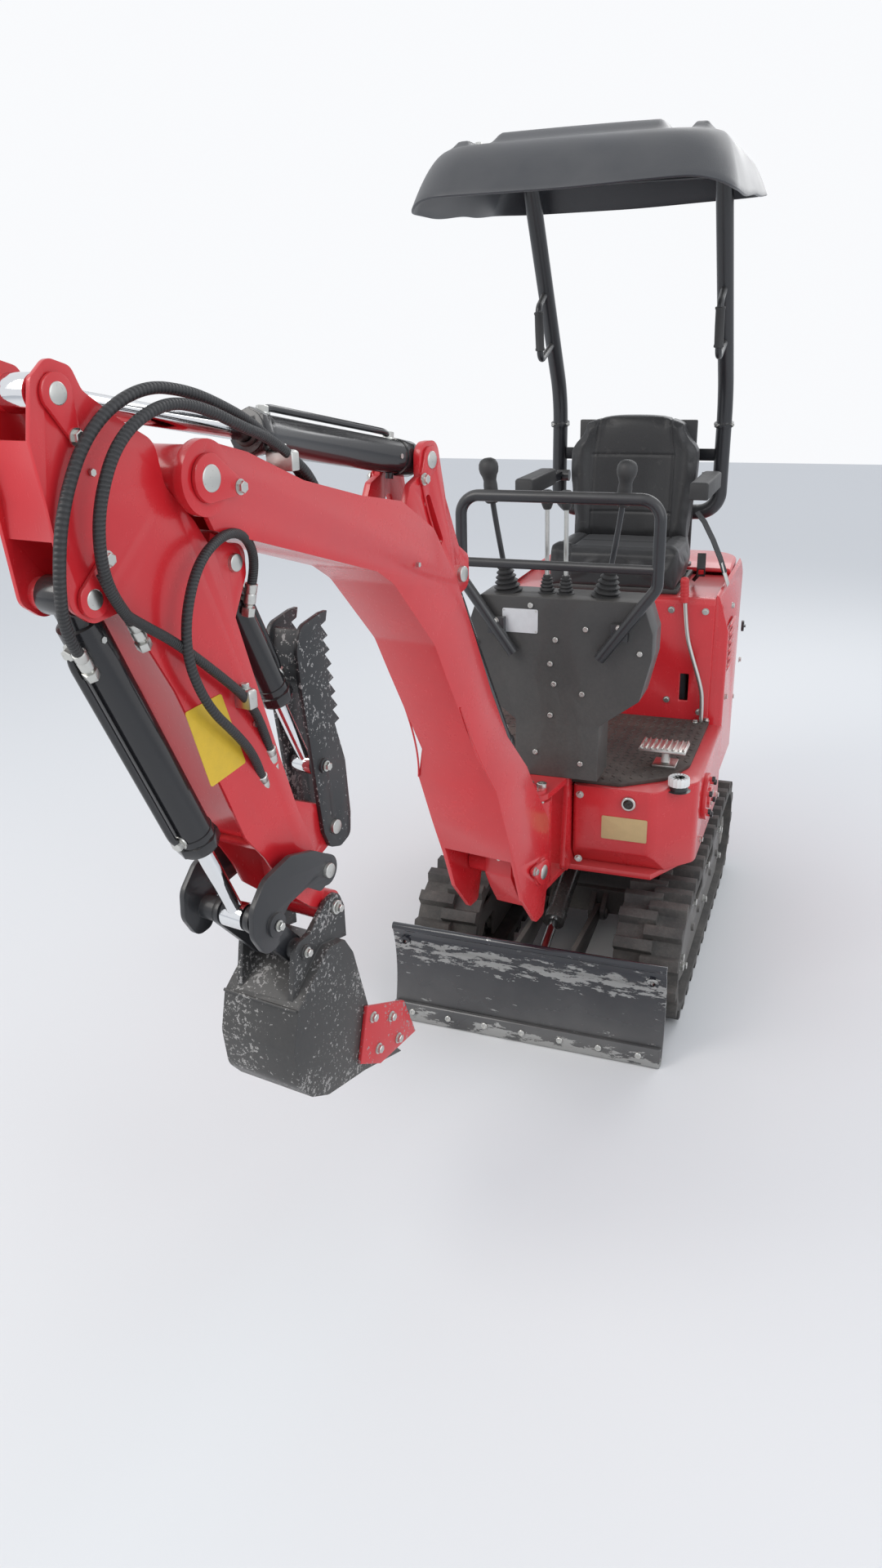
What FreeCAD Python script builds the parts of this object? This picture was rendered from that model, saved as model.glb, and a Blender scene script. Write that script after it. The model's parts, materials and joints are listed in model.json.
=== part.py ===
import FreeCAD, Part
import math
import os

# Mini excavator, millimetres. +Z is up, the front faces -Y and the operator's left is +X.
# Y = 0 is the slewing axis while the pieces are made. The last step moves everything so that
# the whole machine stands centred on the origin.

V = FreeCAD.Vector

# Driving places
SWING_X = -18.0
SWING_Y = -580.0
SWING_REST = -8.5
TRACK_X = 268.0
TRACK_W = 168.0
TRACK_R = 165.0
LUG_H = 24.0
LUG_LEN = 38.0
BAND_T = 20.0
IDLER_Y = -420.0
SPROCKET_Y = 405.0
LUG_COUNT = 35
BLADE_PIN = (-240.0, 160.0)
BLADE_CYL_BASE = (-225.0, 300.0)
BLADE_CYL_EYE = (-560.0, 185.0)
BLADE_X = -15.0
BLADE_HALF = 355.0
BLADE_TOP = 266.0
SLEW_R = 150.0
SLEW_SPLIT_Z = 345.0
DECK_Z = 385.0
DECK_T = 15.0
FLOOR_Z = 625.0
MAT_T = 10.0
TANK_X = 345.0
TANK_Y = -440.0
HOUSE_X = 300.0
HOUSE_Y = 118.0
SEAT_TOP_Z = 990.0
HOOD_Y = 452.0
HOOD_Z = 1010.0
TAIL_Y = 742.0
CONSOLE_X = 8.0
CONSOLE_Y = -480.0
CONSOLE_Z = 1110.0
RAIL_HALF = 233.0
STICK_X = -12.0
STICK_Y = -425.0
POST_Y = 484.0
ROOF_HALF = 352.0
ROOF_FRONT = -530.0
ROOF_REAR = 245.0
ROOF_TOP = 2072.0
ROOF_T = 8.0
HEM_Z = ROOF_TOP - 114.0
ARCH_Z = HEM_Z + 20.0
SHOULDER_Z = ROOF_TOP - 62.0
CEILING_Z = ROOF_TOP - 32.0
POST_X = ROOF_HALF - 106.0

# Pins in the boom's own plane: Y from the swing axis, Z from the ground
FOOT = (-170.0, 535.0)
POST_EAR = (-99.0, 690.0)
BOOM_CYL = (-447.0, 1276.0)
REAR_EAR = (-557.0, 1494.0)
BOOM_TIP = (-1162.0, 1535.0)
ARM_TOP = (-1367.0, 1647.0)
BUCKET_CYL = (-1357.0, 1420.0)
ROCKER = (-967.0, 896.0)
ROD_PIN = (-1112.0, 869.0)
BUCKET_PIN = (-934.0, 809.0)
LINK_PIN = (-1028.0, 773.0)
THUMB_CYL = (-1086.0, 1413.0)
THUMB_EYE = (-908.0, 1051.0)
THUMB_FOOT = (-886.0, 933.0)

# Fits and gaps
PIN_FIT = 0.05
RUN_GAP = 0.3
BIG_PIN_R = 17.5
MID_PIN_R = 15.0
SMALL_PIN_R = 12.5

# Half widths across the boom group
BOOM_HALF = 64.0
BOOM_WALL = 8.0
FOOT_HALF = 92.0
FOOT_WALL = 10.0
ARM_HALF = 44.0
ARM_WALL = 6.0
EAR_IN = 24.3
EAR_OUT = 36.0
BOOM_EAR_IN = 34.0
BOOM_EAR_OUT = 46.0
BUCKET_HALF = 75.0
BUCKET_WALL = 6.0
BUCKET_EAR_IN = 47.3
BUCKET_EAR_OUT = 57.0
ROCKER_IN = 62.0
ROCKER_OUT = 71.0
THUMB_IN = 24.0
THUMB_OUT = 32.0

nodes = {}


def box(x0, x1, y0, y1, z0, z1):
    return Part.makeBox(x1 - x0, y1 - y0, z1 - z0, V(x0, y0, z0))


def rod(start, end, radius):
    a = V(*start)
    b = V(*end)
    return Part.makeCylinder(radius, (b - a).Length, a, b - a)


def disc_x(centre, radius, x0, x1):
    return Part.makeCylinder(radius, x1 - x0, V(x0, centre[0], centre[1]), V(1, 0, 0))


def join(shapes):
    result = shapes[0]
    if len(shapes) > 1:
        result = shapes[0].multiFuse(shapes[1:])
    return result.removeSplitter()


def mirrored(shape):
    return shape.mirror(V(0, 0, 0), V(1, 0, 0))


def both_sides(shape):
    return [shape, mirrored(shape)]


def outline(corners, place):
    """A closed wire of lines and arcs; each corner is (a, b) or (a, b, radius)."""
    count = len(corners)
    edges = []
    ends = []
    for i in range(count):
        a = V(corners[i - 1][0], corners[i - 1][1], 0)
        b = V(corners[i][0], corners[i][1], 0)
        c = V(corners[(i + 1) % count][0], corners[(i + 1) % count][1], 0)
        radius = corners[i][2] if len(corners[i]) > 2 else 0.0
        if radius <= 0.0:
            ends.append((b, b, None))
            continue
        u = (a - b).normalize()
        w = (c - b).normalize()
        half = u.getAngle(w) / 2.0
        back = radius / math.tan(half)
        middle = b + (u + w).normalize() * (radius / math.sin(half) - radius)
        ends.append((b + u * back, b + w * back, middle))
    for i in range(count):
        start, end, middle = ends[i]
        if middle is not None:
            edges.append(Part.Arc(place(start), place(middle), place(end)).toShape())
        following = ends[(i + 1) % count][0]
        if (following - end).Length > 1e-6:
            edges.append(Part.makeLine(place(end), place(following)))
    return Part.Wire(edges)


def plate_x(corners, x0, x1):
    wire = outline(corners, lambda p: V(x0, p.x, p.y))
    return Part.Face(wire).extrude(V(x1 - x0, 0, 0))


def plate_y(corners, y0, y1):
    wire = outline(corners, lambda p: V(p.x, y0, p.y))
    return Part.Face(wire).extrude(V(0, y1 - y0, 0))


def plate_z(corners, z0, z1):
    wire = outline(corners, lambda p: V(p.x, p.y, z0))
    return Part.Face(wire).extrude(V(0, 0, z1 - z0))


def tube_path(points, radius):
    """A round bar along straight runs with bends; each point is (x, y, z) or (x, y, z, bend)."""
    pieces = []
    start = V(*points[0][:3])
    for i in range(1, len(points)):
        here = V(*points[i][:3])
        if i == len(points) - 1:
            pieces.append(Part.makeLine(start, here))
            break
        after = V(*points[i + 1][:3])
        bend = points[i][3]
        u = (start - here).normalize()
        w = (after - here).normalize()
        half = u.getAngle(w) / 2.0
        back = bend / math.tan(half)
        middle = here + (u + w).normalize() * (bend / math.sin(half) - bend)
        pieces.append(Part.makeLine(start, here + u * back))
        pieces.append(Part.Arc(here + u * back, middle, here + w * back).toShape())
        start = here + w * back
    path = Part.Wire(pieces)
    first = V(*points[0][:3])
    along = V(*points[1][:3]) - first
    ring = Part.Wire(Part.makeCircle(radius, first, along))
    sweep = Part.BRepOffsetAPI.MakePipeShell(path)
    sweep.add(ring)
    sweep.build()
    sweep.makeSolid()
    return sweep.shape()


def link_plate(a, b, ra, rb, x0, x1):
    """A plate with round ends about two pins, its sides tangent to both ends."""
    dy = b[0] - a[0]
    dz = b[1] - a[1]
    length = math.hypot(dy, dz)
    base = math.atan2(dz, dy)
    lean = math.acos((ra - rb) / length)
    corners = []
    for sign in (1, -1):
        t = base + sign * lean
        corners.append((a[0] + ra * math.cos(t), a[1] + ra * math.sin(t)))
        corners.append((b[0] + rb * math.cos(t), b[1] + rb * math.sin(t)))
    quad = [corners[0], corners[1], corners[3], corners[2]]
    return join([plate_x(quad, x0, x1), disc_x(a, ra, x0, x1), disc_x(b, rb, x0, x1)])


# Hydraulic cylinders: what the rod has left in the gland, and the gap behind the rod's end
GLAND_HOLD = 25.0
END_GAP = 5.0
GLAND_LEN = 32.0
BARREL_START = 38.0


def cylinder_pair(base, eye, barrel_r, rod_r, barrel_len, travel, base_half, eye_half, eye_r):
    """A barrel with a bored end and its rod, in the plane X = 0; travel is (retracts, extends)."""
    retracts, extends = travel
    a = V(0, base[0], base[1])
    b = V(0, eye[0], eye[1])
    d = (b - a).normalize()
    length = (b - a).Length
    rod_start = barrel_len - extends - GLAND_HOLD
    bore_start = rod_start - retracts - END_GAP
    body = Part.makeCylinder(barrel_r, barrel_len - BARREL_START, a + d * BARREL_START, d)
    neck = Part.makeCylinder(base_half - 3.0, BARREL_START + 2.0, a, d)
    gland = Part.makeCylinder(barrel_r + 2.0, GLAND_LEN, a + d * (barrel_len - GLAND_LEN), d)
    port = Part.makeCylinder(7.0, barrel_r + 9.0, a + d * (BARREL_START + 14.0), V(0, -d.z, d.y))
    barrel = join([body, neck, gland, port, disc_x(base, eye_r + 2.0, -base_half, base_half)])
    bore = Part.makeCylinder(rod_r + PIN_FIT, barrel_len - bore_start + 10.0, a + d * bore_start, d)
    barrel = barrel.cut(bore)
    shaft = Part.makeCylinder(rod_r, length - rod_start, a + d * rod_start, d)
    return barrel, join([shaft, disc_x(eye, eye_r, -eye_half, eye_half)])


# Undercarriage

FRAME_HALF = 48.0
BEAM_X = TRACK_X - FRAME_HALF
middle = box(-175, 175, -190, 190, 130, 300)
ring = Part.makeCylinder(SLEW_R, SLEW_SPLIT_Z - 300.0, V(0, 0, 300))
beams = [box(-BEAM_X, BEAM_X, y, y + 90, 140, 215) for y in (-210, 120)]
hinge_lugs = []
for x0, x1 in ((52, 66), (84, 98)):
    lug_side = [(-190, 130), (-190, 215), (-225, 200), (-262, 175, 14), (-262, 145, 14), (-225, 130)]
    hinge_lugs += both_sides(plate_x(lug_side, x0, x1))
cylinder_lug = plate_x([(-190, 250), (-190, 300), (-205, 322, 10), (-243, 322, 18), (-243, 282, 18)], 18.3, 32)
blade_pins = both_sides(disc_x(BLADE_PIN, SMALL_PIN_R, 48, 104))
blade_pins.append(disc_x(BLADE_CYL_BASE, SMALL_PIN_R, -40, 40))
nodes["centre_frame"] = join([middle, ring] + beams + hinge_lugs + both_sides(cylinder_lug) + blade_pins)


def stadium(radius):
    z = TRACK_R
    a = IDLER_Y
    b = SPROCKET_Y
    return Part.Wire([
        Part.makeLine(V(0, a, z - radius), V(0, b, z - radius)),
        Part.Arc(V(0, b, z - radius), V(0, b + radius, z), V(0, b, z + radius)).toShape(),
        Part.makeLine(V(0, b, z + radius), V(0, a, z + radius)),
        Part.Arc(V(0, a, z + radius), V(0, a - radius, z), V(0, a, z - radius)).toShape(),
    ])


def track_loop():
    """A rubber belt with half-width lugs that alternate left and right."""
    band_r = TRACK_R - LUG_H
    run = SPROCKET_Y - IDLER_Y
    band = Part.Face(stadium(band_r)).cut(Part.Face(stadium(band_r - BAND_T)))
    loop = band.extrude(V(TRACK_W, 0, 0))
    length = 2 * run + 2 * math.pi * band_r
    root = band_r - 3.0
    blocks = []
    for i in range(2 * LUG_COUNT):
        s = (i + 0.5) * length / (2 * LUG_COUNT)
        if s < run:
            y, turn = IDLER_Y + s, 180.0
        elif s < run + math.pi * band_r:
            y, turn = SPROCKET_Y, 180.0 + math.degrees((s - run) / band_r)
        elif s < 2 * run + math.pi * band_r:
            y, turn = SPROCKET_Y - (s - run - math.pi * band_r), 0.0
        else:
            y, turn = IDLER_Y, math.degrees((s - 2 * run - math.pi * band_r) / band_r)
        top = TRACK_R if turn in (0.0, 180.0) else TRACK_R - 0.7
        half = LUG_LEN / 2
        x0, x1 = (0.0, 0.58 * TRACK_W) if i % 2 else (0.42 * TRACK_W, TRACK_W)
        lug = plate_x([(-half, root), (half, root), (half - 5, top), (5 - half, top)], x0, x1)
        lug.rotate(V(0, 0, 0), V(1, 0, 0), turn)
        lug.translate(V(0, y, TRACK_R))
        blocks.append(lug)
    return join([loop] + blocks)


loop = track_loop()
loop.translate(V(TRACK_X - TRACK_W / 2, 0, 0))
nodes["left_track"] = loop
nodes["right_track"] = mirrored(loop)

# Track frame: a beam with roller flanges, an idler yoke, a motor bracket and the outer side plate
wheel_r = TRACK_R - LUG_H - BAND_T - RUN_GAP
side_in = TRACK_X - FRAME_HALF
side_out = TRACK_X + FRAME_HALF
PLATE_GAP = 14.0
FLANGE_T = 8.0
parts = [
    box(side_in, side_out, -290, 270, 125, 205),
    box(side_in, side_in + FLANGE_T, -290, 250, 60, 125),
    box(side_out - FLANGE_T, side_out, -290, 250, 60, 125),
    box(side_in, side_in + FLANGE_T, IDLER_Y - 20, -290, 140, 190),
    box(side_out - FLANGE_T, side_out, IDLER_Y - 20, -290, 140, 190),
    box(side_in, side_in + FLANGE_T, 270, SPROCKET_Y + 30, 120, 210),
]
side_plate = plate_x([(-345, 72, 20), (300, 72, 20), (345, 110, 30), (345, 220, 30), (290, 262, 30), (-345, 262, 30),
                      (-398, 242, 60), (-486, 200, 60), (-486, 120, 60), (-420, 90, 60)],
                     side_out + PLATE_GAP, side_out + PLATE_GAP + FLANGE_T)
for y0, y1 in ((-180, -40), (40, 180)):
    window = plate_x([(y0, 180, 10), (y1, 180, 10), (y1, 225, 10), (y0, 225, 10)], side_out, side_out + 40)
    side_plate = side_plate.cut(window)
parts.append(side_plate)
parts += [box(side_out, side_out + PLATE_GAP, y - 25, y + 25, 135, 195) for y in (-240, 220)]
parts += [rod((side_out + PLATE_GAP, y, 150), (side_out + PLATE_GAP + 15, y, 150), 11.0) for y in (-230, -120, 120, 260)]
nodes["track_frames"] = Part.makeCompound(both_sides(join(parts)))

# Idler: two rims on a hub
idler = join([
    disc_x((IDLER_Y, TRACK_R), 55.0, side_in + FLANGE_T, side_out - FLANGE_T),
    disc_x((IDLER_Y, TRACK_R), wheel_r, TRACK_X - 30, TRACK_X - 12),
    disc_x((IDLER_Y, TRACK_R), wheel_r, TRACK_X + 12, TRACK_X + 30),
    disc_x((IDLER_Y, TRACK_R), wheel_r - 26, TRACK_X - 12, TRACK_X + 12),
])
nodes["idlers"] = Part.makeCompound(both_sides(idler))

# Sprocket: toothed disc on the motor's hub
TEETH = 11
rim = []
for i in range(TEETH):
    for step, r in ((-0.22, wheel_r - 22), (-0.12, wheel_r), (0.12, wheel_r), (0.22, wheel_r - 22)):
        t = 2 * math.pi * (i + 0.5 + step) / TEETH
        rim.append((SPROCKET_Y + r * math.cos(t), TRACK_R + r * math.sin(t)))
sprocket = join([
    plate_x(rim, TRACK_X - 9, TRACK_X + 9),
    disc_x((SPROCKET_Y, TRACK_R), 62.0, side_in + FLANGE_T, side_out + 4.0),
    disc_x((SPROCKET_Y, TRACK_R), 46.0, side_out + 4.0, side_out + 22.0),
])
nodes["sprockets"] = Part.makeCompound(both_sides(sprocket))

# Bottom rollers with twin rims
ROLLER_R = 30.0
roller_z = LUG_H + BAND_T + RUN_GAP + ROLLER_R
rollers = []
for y in (-225, -75, 75, 215):
    one = join([
        disc_x((y, roller_z), 18.0, side_in + FLANGE_T, side_out - FLANGE_T),
        disc_x((y, roller_z), ROLLER_R, TRACK_X - 34, TRACK_X - 14),
        disc_x((y, roller_z), ROLLER_R, TRACK_X + 14, TRACK_X + 34),
    ])
    rollers += both_sides(one)
nodes["rollers"] = Part.makeCompound(rollers)

# Dozer blade: a concave plate with a rolled top edge, and flat pads about its two holes

PAD_Z = BLADE_TOP - 38.0
face = [
    Part.makeLine(V(0, -688, 4), V(0, -676, 4)),
    Part.Arc(V(0, -676, 4), V(0, -650, 135), V(0, -668, BLADE_TOP)).toShape(),
    Part.makeLine(V(0, -668, BLADE_TOP), V(0, -678, BLADE_TOP)),
    Part.Arc(V(0, -678, BLADE_TOP), V(0, -660, 135), V(0, -688, 4)).toShape(),
]
curved = Part.Face(Part.Wire(face)).extrude(V(2 * BLADE_HALF, 0, 0))
curved.translate(V(BLADE_X - BLADE_HALF, 0, 0))
roll = disc_x((-672, BLADE_TOP + 4), 10.0, BLADE_X - BLADE_HALF, BLADE_X + BLADE_HALF)
blade = join([curved, roll])
for side in (1, -1):
    x = BLADE_X + side * (BLADE_HALF - 32)
    blade = join([blade, rod((x, -676, PAD_Z), (x, -656, PAD_Z), 15.0)])
    blade = blade.cut(rod((x, -720, PAD_Z), (x, -600, PAD_Z), 7.0))
nodes["blade_plate"] = blade
arm_plate = plate_x([(-700, 60), (-700, 210), (-600, 200), (-430, 190), (-260, 182, 20), (-218, 182, 22),
                     (-218, 138, 22), (-260, 138, 20), (-430, 120), (-600, 60)], 68, 82)
rib = plate_x([(-700, 80), (-700, 215), (-585, 205, 16), (-540, 205, 20), (-540, 165, 20), (-500, 142),
               (-500, 128), (-640, 80)], 18.3, 32)
arm_node = join(both_sides(arm_plate) + both_sides(rib) + [box(-82, 82, -560, -470, 128, 142)])
front_of_blade = [(-720, 0), (-676, 4), (-660, 68), (-652, 135), (-657, 200), (-668, 252), (-672, 300), (-720, 300)]
arm_node = arm_node.cut(plate_x(front_of_blade, -100, 100))
arm_node = arm_node.cut(curved)
arm_node = arm_node.cut(disc_x(BLADE_PIN, SMALL_PIN_R + PIN_FIT, -110, 110))
nodes["blade_arms"] = join([arm_node] + both_sides(disc_x(BLADE_CYL_EYE, SMALL_PIN_R, 18.3, 38)))

barrel, end = cylinder_pair(BLADE_CYL_BASE, BLADE_CYL_EYE, 27.0, 13.0, 235.0, (31.0, 44.0), 18.0, 16.0, 20.0)
barrel = barrel.cut(disc_x(BLADE_CYL_BASE, SMALL_PIN_R + PIN_FIT, -40, 40))
nodes["blade_cylinder_barrel"] = barrel
nodes["blade_cylinder_rod"] = end

# Upper frame: turntable, deck, keel and the swing bracket with its pin

turntable = Part.makeCylinder(SLEW_R, DECK_Z - SLEW_SPLIT_Z - RUN_GAP, V(0, 0, SLEW_SPLIT_Z + RUN_GAP))
deck = plate_z([(-325, -300, 30), (-250, TANK_Y), (250, TANK_Y), (325, -300, 30), (300, 560, 60), (200, TAIL_Y, 60),
                (-200, TAIL_Y, 60), (-300, 560, 60)], DECK_Z, DECK_Z + DECK_T)
BRACKET_HALF = 58.0
bracket_plan = [(SWING_X - BRACKET_HALF, TANK_Y), (SWING_X - 36, SWING_Y - 8, 10), (SWING_X - 24, SWING_Y - 34, 20),
                (SWING_X + 24, SWING_Y - 34, 20), (SWING_X + 36, SWING_Y - 8, 10), (SWING_X + BRACKET_HALF, TANK_Y)]
bracket_low = plate_z(bracket_plan, 395, 410)
bracket_top = plate_z(bracket_plan, 640, 656)
bracket_back = box(SWING_X - BRACKET_HALF, SWING_X + BRACKET_HALF, TANK_Y - 30, TANK_Y, 395, 656)
cheek = plate_x([(TANK_Y, 395), (-505, 410, 20), (-475, 640, 20), (TANK_Y, 656)], 46, BRACKET_HALF)
cheeks = both_sides(cheek)
for one in cheeks:
    one.translate(V(SWING_X, 0, 0))
SPINE_GAP = 3.0
spine_x = (SWING_X - BRACKET_HALF, SWING_X + BRACKET_HALF)
swing_pin = rod((SWING_X, SWING_Y, 388), (SWING_X, SWING_Y, 656), 20.0)
pin_head = rod((SWING_X, SWING_Y, 656), (SWING_X, SWING_Y, 664), 30.0)
spine = box(spine_x[0], spine_x[1], TANK_Y, HOUSE_Y, DECK_Z + DECK_T, FLOOR_Z)
nodes["upper_frame"] = join([turntable, deck, bracket_low, bracket_top, bracket_back, swing_pin, pin_head, spine] + cheeks)


def deck_box(x0, x1, corner, cut):
    """A closed box on the deck with a slanted front corner and a bevelled lower front edge."""
    side = 1 if x1 > x0 else -1
    plan = [(x0, TANK_Y, 12), (x1 - side * corner, TANK_Y, 40), (x1, TANK_Y + 110, 50), (x1, HOUSE_Y), (x0, HOUSE_Y)]
    body = plate_z(plan, DECK_Z + DECK_T, FLOOR_Z)
    wedge = plate_x([(TANK_Y - 20, 395), (TANK_Y + cut, 395), (TANK_Y, 450), (TANK_Y - 20, 450)], -400, 400)
    return body.cut(wedge)


nodes["tank"] = deck_box(spine_x[1] + SPINE_GAP, TANK_X, 98, 40)
nodes["right_box"] = deck_box(spine_x[0] - SPINE_GAP, -TANK_X, 98, 40)
# The tank's round side cover with its bolts, the sight gauge on its front and the filler cap
FLANGE_PLACE = (-215.0, 540.0)
flange = disc_x(FLANGE_PLACE, 62.0, TANK_X, TANK_X + 12)
bolts = []
for i in range(6):
    t = math.radians(60 * i + 30)
    place = (FLANGE_PLACE[0] + 50 * math.cos(t), FLANGE_PLACE[1] + 50 * math.sin(t))
    bolts.append(disc_x(place, 7.0, TANK_X + 12, TANK_X + 18))
nodes["side_flange"] = join([flange, disc_x(FLANGE_PLACE, 30.0, TANK_X + 12, TANK_X + 18)] + bolts)
nodes["sight_gauge"] = join([
    rod((187, TANK_Y - 6, 591), (187, TANK_Y, 591), 18.0),
    rod((187, TANK_Y - 9, 591), (187, TANK_Y - 6, 591), 13.0),
])
cap = join([
    Part.makeCylinder(24.0, 14.0, V(300, -385, FLOOR_Z)),
    Part.makeCylinder(27.0, 14.0, V(300, -385, FLOOR_Z + 14)),
])
nodes["tank_cap"] = cap

mat_plan = [(-315, HOUSE_Y - 2), (-315, -320, 60), (-262, -420, 40), (160, -425, 30), (262, -350, 30), (306, -240, 60),
            (306, HOUSE_Y - 2)]
mat = plate_z(mat_plan, FLOOR_Z, FLOOR_Z + MAT_T)
mat = mat.cut(Part.makeCylinder(33.0, 2 * MAT_T, V(300, -385, FLOOR_Z - 5)))
nodes["floor_mat"] = mat

# Seat box, hood, side covers, counterweight and engine
COVER_T = 12.0
seat_box = box(-HOUSE_X, HOUSE_X, HOUSE_Y, HOOD_Y - 2, DECK_Z + DECK_T, SEAT_TOP_Z)
seat_box = seat_box.cut(box(-HOUSE_X + COVER_T, HOUSE_X - COVER_T, HOUSE_Y + COVER_T, HOOD_Y + 10, DECK_Z + DECK_T - 5,
                            SEAT_TOP_Z - COVER_T))
front_top = [e for e in seat_box.Edges if e.BoundBox.ZMin > SEAT_TOP_Z - 5 and e.BoundBox.YMax < HOUSE_Y + 1]
seat_box = seat_box.makeFillet(20.0, front_top)
slot_z = 730.0
seat_box = seat_box.cut(box(215, 240, HOUSE_Y - 5, HOUSE_Y + COVER_T + 5, slot_z - 40, slot_z + 40))
nodes["seat_box"] = seat_box
hood_plan = [(-HOUSE_X, HOOD_Y), (HOUSE_X, HOOD_Y), (HOUSE_X - 8, TAIL_Y, 110), (8 - HOUSE_X, TAIL_Y, 110)]
hood_void = [(-HOUSE_X + COVER_T, HOOD_Y - 5), (HOUSE_X - COVER_T, HOOD_Y - 5), (HOUSE_X - 22, TAIL_Y - COVER_T, 100),
             (22 - HOUSE_X, TAIL_Y - COVER_T, 100)]
hood = plate_z(hood_plan, 560.0, HOOD_Z).cut(plate_z(hood_void, 550.0, HOOD_Z - COVER_T))
top_edges = [e for e in hood.Edges if e.BoundBox.ZMin > HOOD_Z - 1 and e.BoundBox.YMax > HOOD_Y + 20]
hood = hood.makeFillet(9.0, top_edges)
for i in range(6):
    z = 720 + i * 30
    hood = hood.cut(box(-150, 150, TAIL_Y - 40, TAIL_Y + 10, z, z + 14))
nodes["hood"] = hood
counterweight = plate_z([(-HOUSE_X, 462), (HOUSE_X, 462), (HOUSE_X - 8, 655, 90), (200, TAIL_Y + 18, 80),
                         (-200, TAIL_Y + 18, 80), (8 - HOUSE_X, 655, 90)], DECK_Z + DECK_T, 560)
nodes["counterweight"] = counterweight
engine_feet = [box(x - 25, x + 25, 230, 390, DECK_Z + DECK_T, 470) for x in (-150, 150)]
nodes["engine_block"] = join([box(-220, 220, 200, 420, 470, 880)] + engine_feet)
cover_plan = [(HOUSE_X, HOUSE_Y + 22), (338, HOUSE_Y + 36, 14), (340, 400, 60), (316, 660, 80), (HOUSE_X, 700)]
cover_end = [(HOUSE_X, 420), (328, 420), (340, 470, 20), (340, 880, 20), (306, 1000, 20), (HOUSE_X, 1000)]
cover = plate_z(cover_plan, 400, 1020).common(plate_y(cover_end, HOUSE_Y, 720))
for i in range(6):
    z = 770 + i * 24
    cover = cover.cut(box(330, 380, 170, 300, z, z + 10))
house_outside = plate_z([(-HOUSE_X, HOUSE_Y), (HOUSE_X, HOUSE_Y), (HOUSE_X, HOOD_Y), (HOUSE_X - 8, TAIL_Y + 20, 110),
                         (8 - HOUSE_X, TAIL_Y + 20, 110), (-HOUSE_X, HOOD_Y)], 400, 1030)
cover = cover.cut(house_outside)
nodes["side_covers"] = Part.makeCompound(both_sides(cover))

# Console, guard rail and controls
CONSOLE_DEPTH = 110.0
SHELL_T = 4.0
console_front = [(-105, 656), (105, 656), (105, 800, 10), (200, 872, 10), (225, 977, 10), (225, 1037, 10),
                 (200, CONSOLE_Z, 20), (-200, CONSOLE_Z, 20), (-225, 1037, 10), (-225, 977, 10), (-200, 872, 10),
                 (-105, 800, 10)]
console_void = [(-101, 650), (101, 650), (101, 803, 6), (196, 875, 6), (221, 978, 6), (221, 1036, 6), (197, 1106, 16),
                (-197, 1106, 16), (-221, 1036, 6), (-221, 978, 6), (-196, 875, 6), (-101, 803, 6)]
console = plate_y(console_front, CONSOLE_Y, CONSOLE_Y + CONSOLE_DEPTH)
console = console.cut(plate_y(console_void, CONSOLE_Y + SHELL_T, CONSOLE_Y + CONSOLE_DEPTH + 10))
pedestal = box(-80, 70, CONSOLE_Y + SHELL_T, CONSOLE_Y + 34, 656, 1000)
console = join([console, pedestal])
console.translate(V(CONSOLE_X, 0, 0))
nodes["console"] = console
RAIL_R = 13.5
rail_y = CONSOLE_Y - RAIL_R - 6
rail_foot = [(CONSOLE_X + s * 105, rail_y, 975) for s in (-1, 1)]
rail = tube_path([
    rail_foot[0], (CONSOLE_X - RAIL_HALF, rail_y, 1150, 30), (CONSOLE_X - RAIL_HALF, rail_y, 1345, 45),
    (CONSOLE_X + RAIL_HALF, rail_y, 1345, 45), (CONSOLE_X + RAIL_HALF, rail_y, 1150, 30), rail_foot[1],
], RAIL_R)
lower_rail = rod((CONSOLE_X - RAIL_HALF, rail_y, 1190), (CONSOLE_X + RAIL_HALF, rail_y, 1190), 11.0)
brackets = []
for s in (-1, 1):
    brackets.append(box(CONSOLE_X + s * 150 - 20, CONSOLE_X + s * 150 + 20, rail_y, CONSOLE_Y, 1020, 1060))
nodes["guard_rail"] = join([rail, lower_rail] + brackets)
joysticks = []
for side in (1, -1):
    foot_x = STICK_X + side * 122
    knob_x = STICK_X + side * 163
    joysticks.append(join([
        Part.makeCone(34, 15, 66, V(foot_x, STICK_Y, CONSOLE_Z)),
        rod((foot_x, STICK_Y, CONSOLE_Z + 60), (knob_x - side * 6, STICK_Y - 15, 1335), 7.0),
        rod((knob_x - side * 6, STICK_Y - 15, 1335), (knob_x, STICK_Y - 18, 1400), 19.0),
        Part.makeSphere(22.0, V(knob_x, STICK_Y - 18, 1398)),
    ]))
nodes["joysticks"] = Part.makeCompound(joysticks)
levers = []
for x in (STICK_X - 23, STICK_X + 23):
    levers.append(join([
        Part.makeCone(20, 12, 40, V(x, STICK_Y, CONSOLE_Z)),
        rod((x, STICK_Y, CONSOLE_Z + 35), (x, STICK_Y - 8, 1320), 6.0),
        rod((x, STICK_Y - 8, 1312), (x, STICK_Y - 10, 1352), 15.0),
    ]))
nodes["travel_levers"] = Part.makeCompound(levers)
PEDAL_Z = FLOOR_Z + MAT_T + 45.0
pedal = join([
    box(180, 300, -300, -220, PEDAL_Z, PEDAL_Z + 8),
    box(235, 255, -270, -250, FLOOR_Z + MAT_T, PEDAL_Z),
    box(215, 275, -290, -230, FLOOR_Z + MAT_T, FLOOR_Z + MAT_T + 8),
])
nodes["foot_pedal"] = pedal
LEVER_Y = HOUSE_Y - 14
safety = tube_path([(284, LEVER_Y, FLOOR_Z + MAT_T), (284, LEVER_Y, 720, 40), (236, LEVER_Y, 860, 60),
                    (218, LEVER_Y, 985)], 6.5)
nodes["safety_lever"] = join([safety, rod((218, LEVER_Y, 980), (214, LEVER_Y, 1052), 12.0)])

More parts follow.
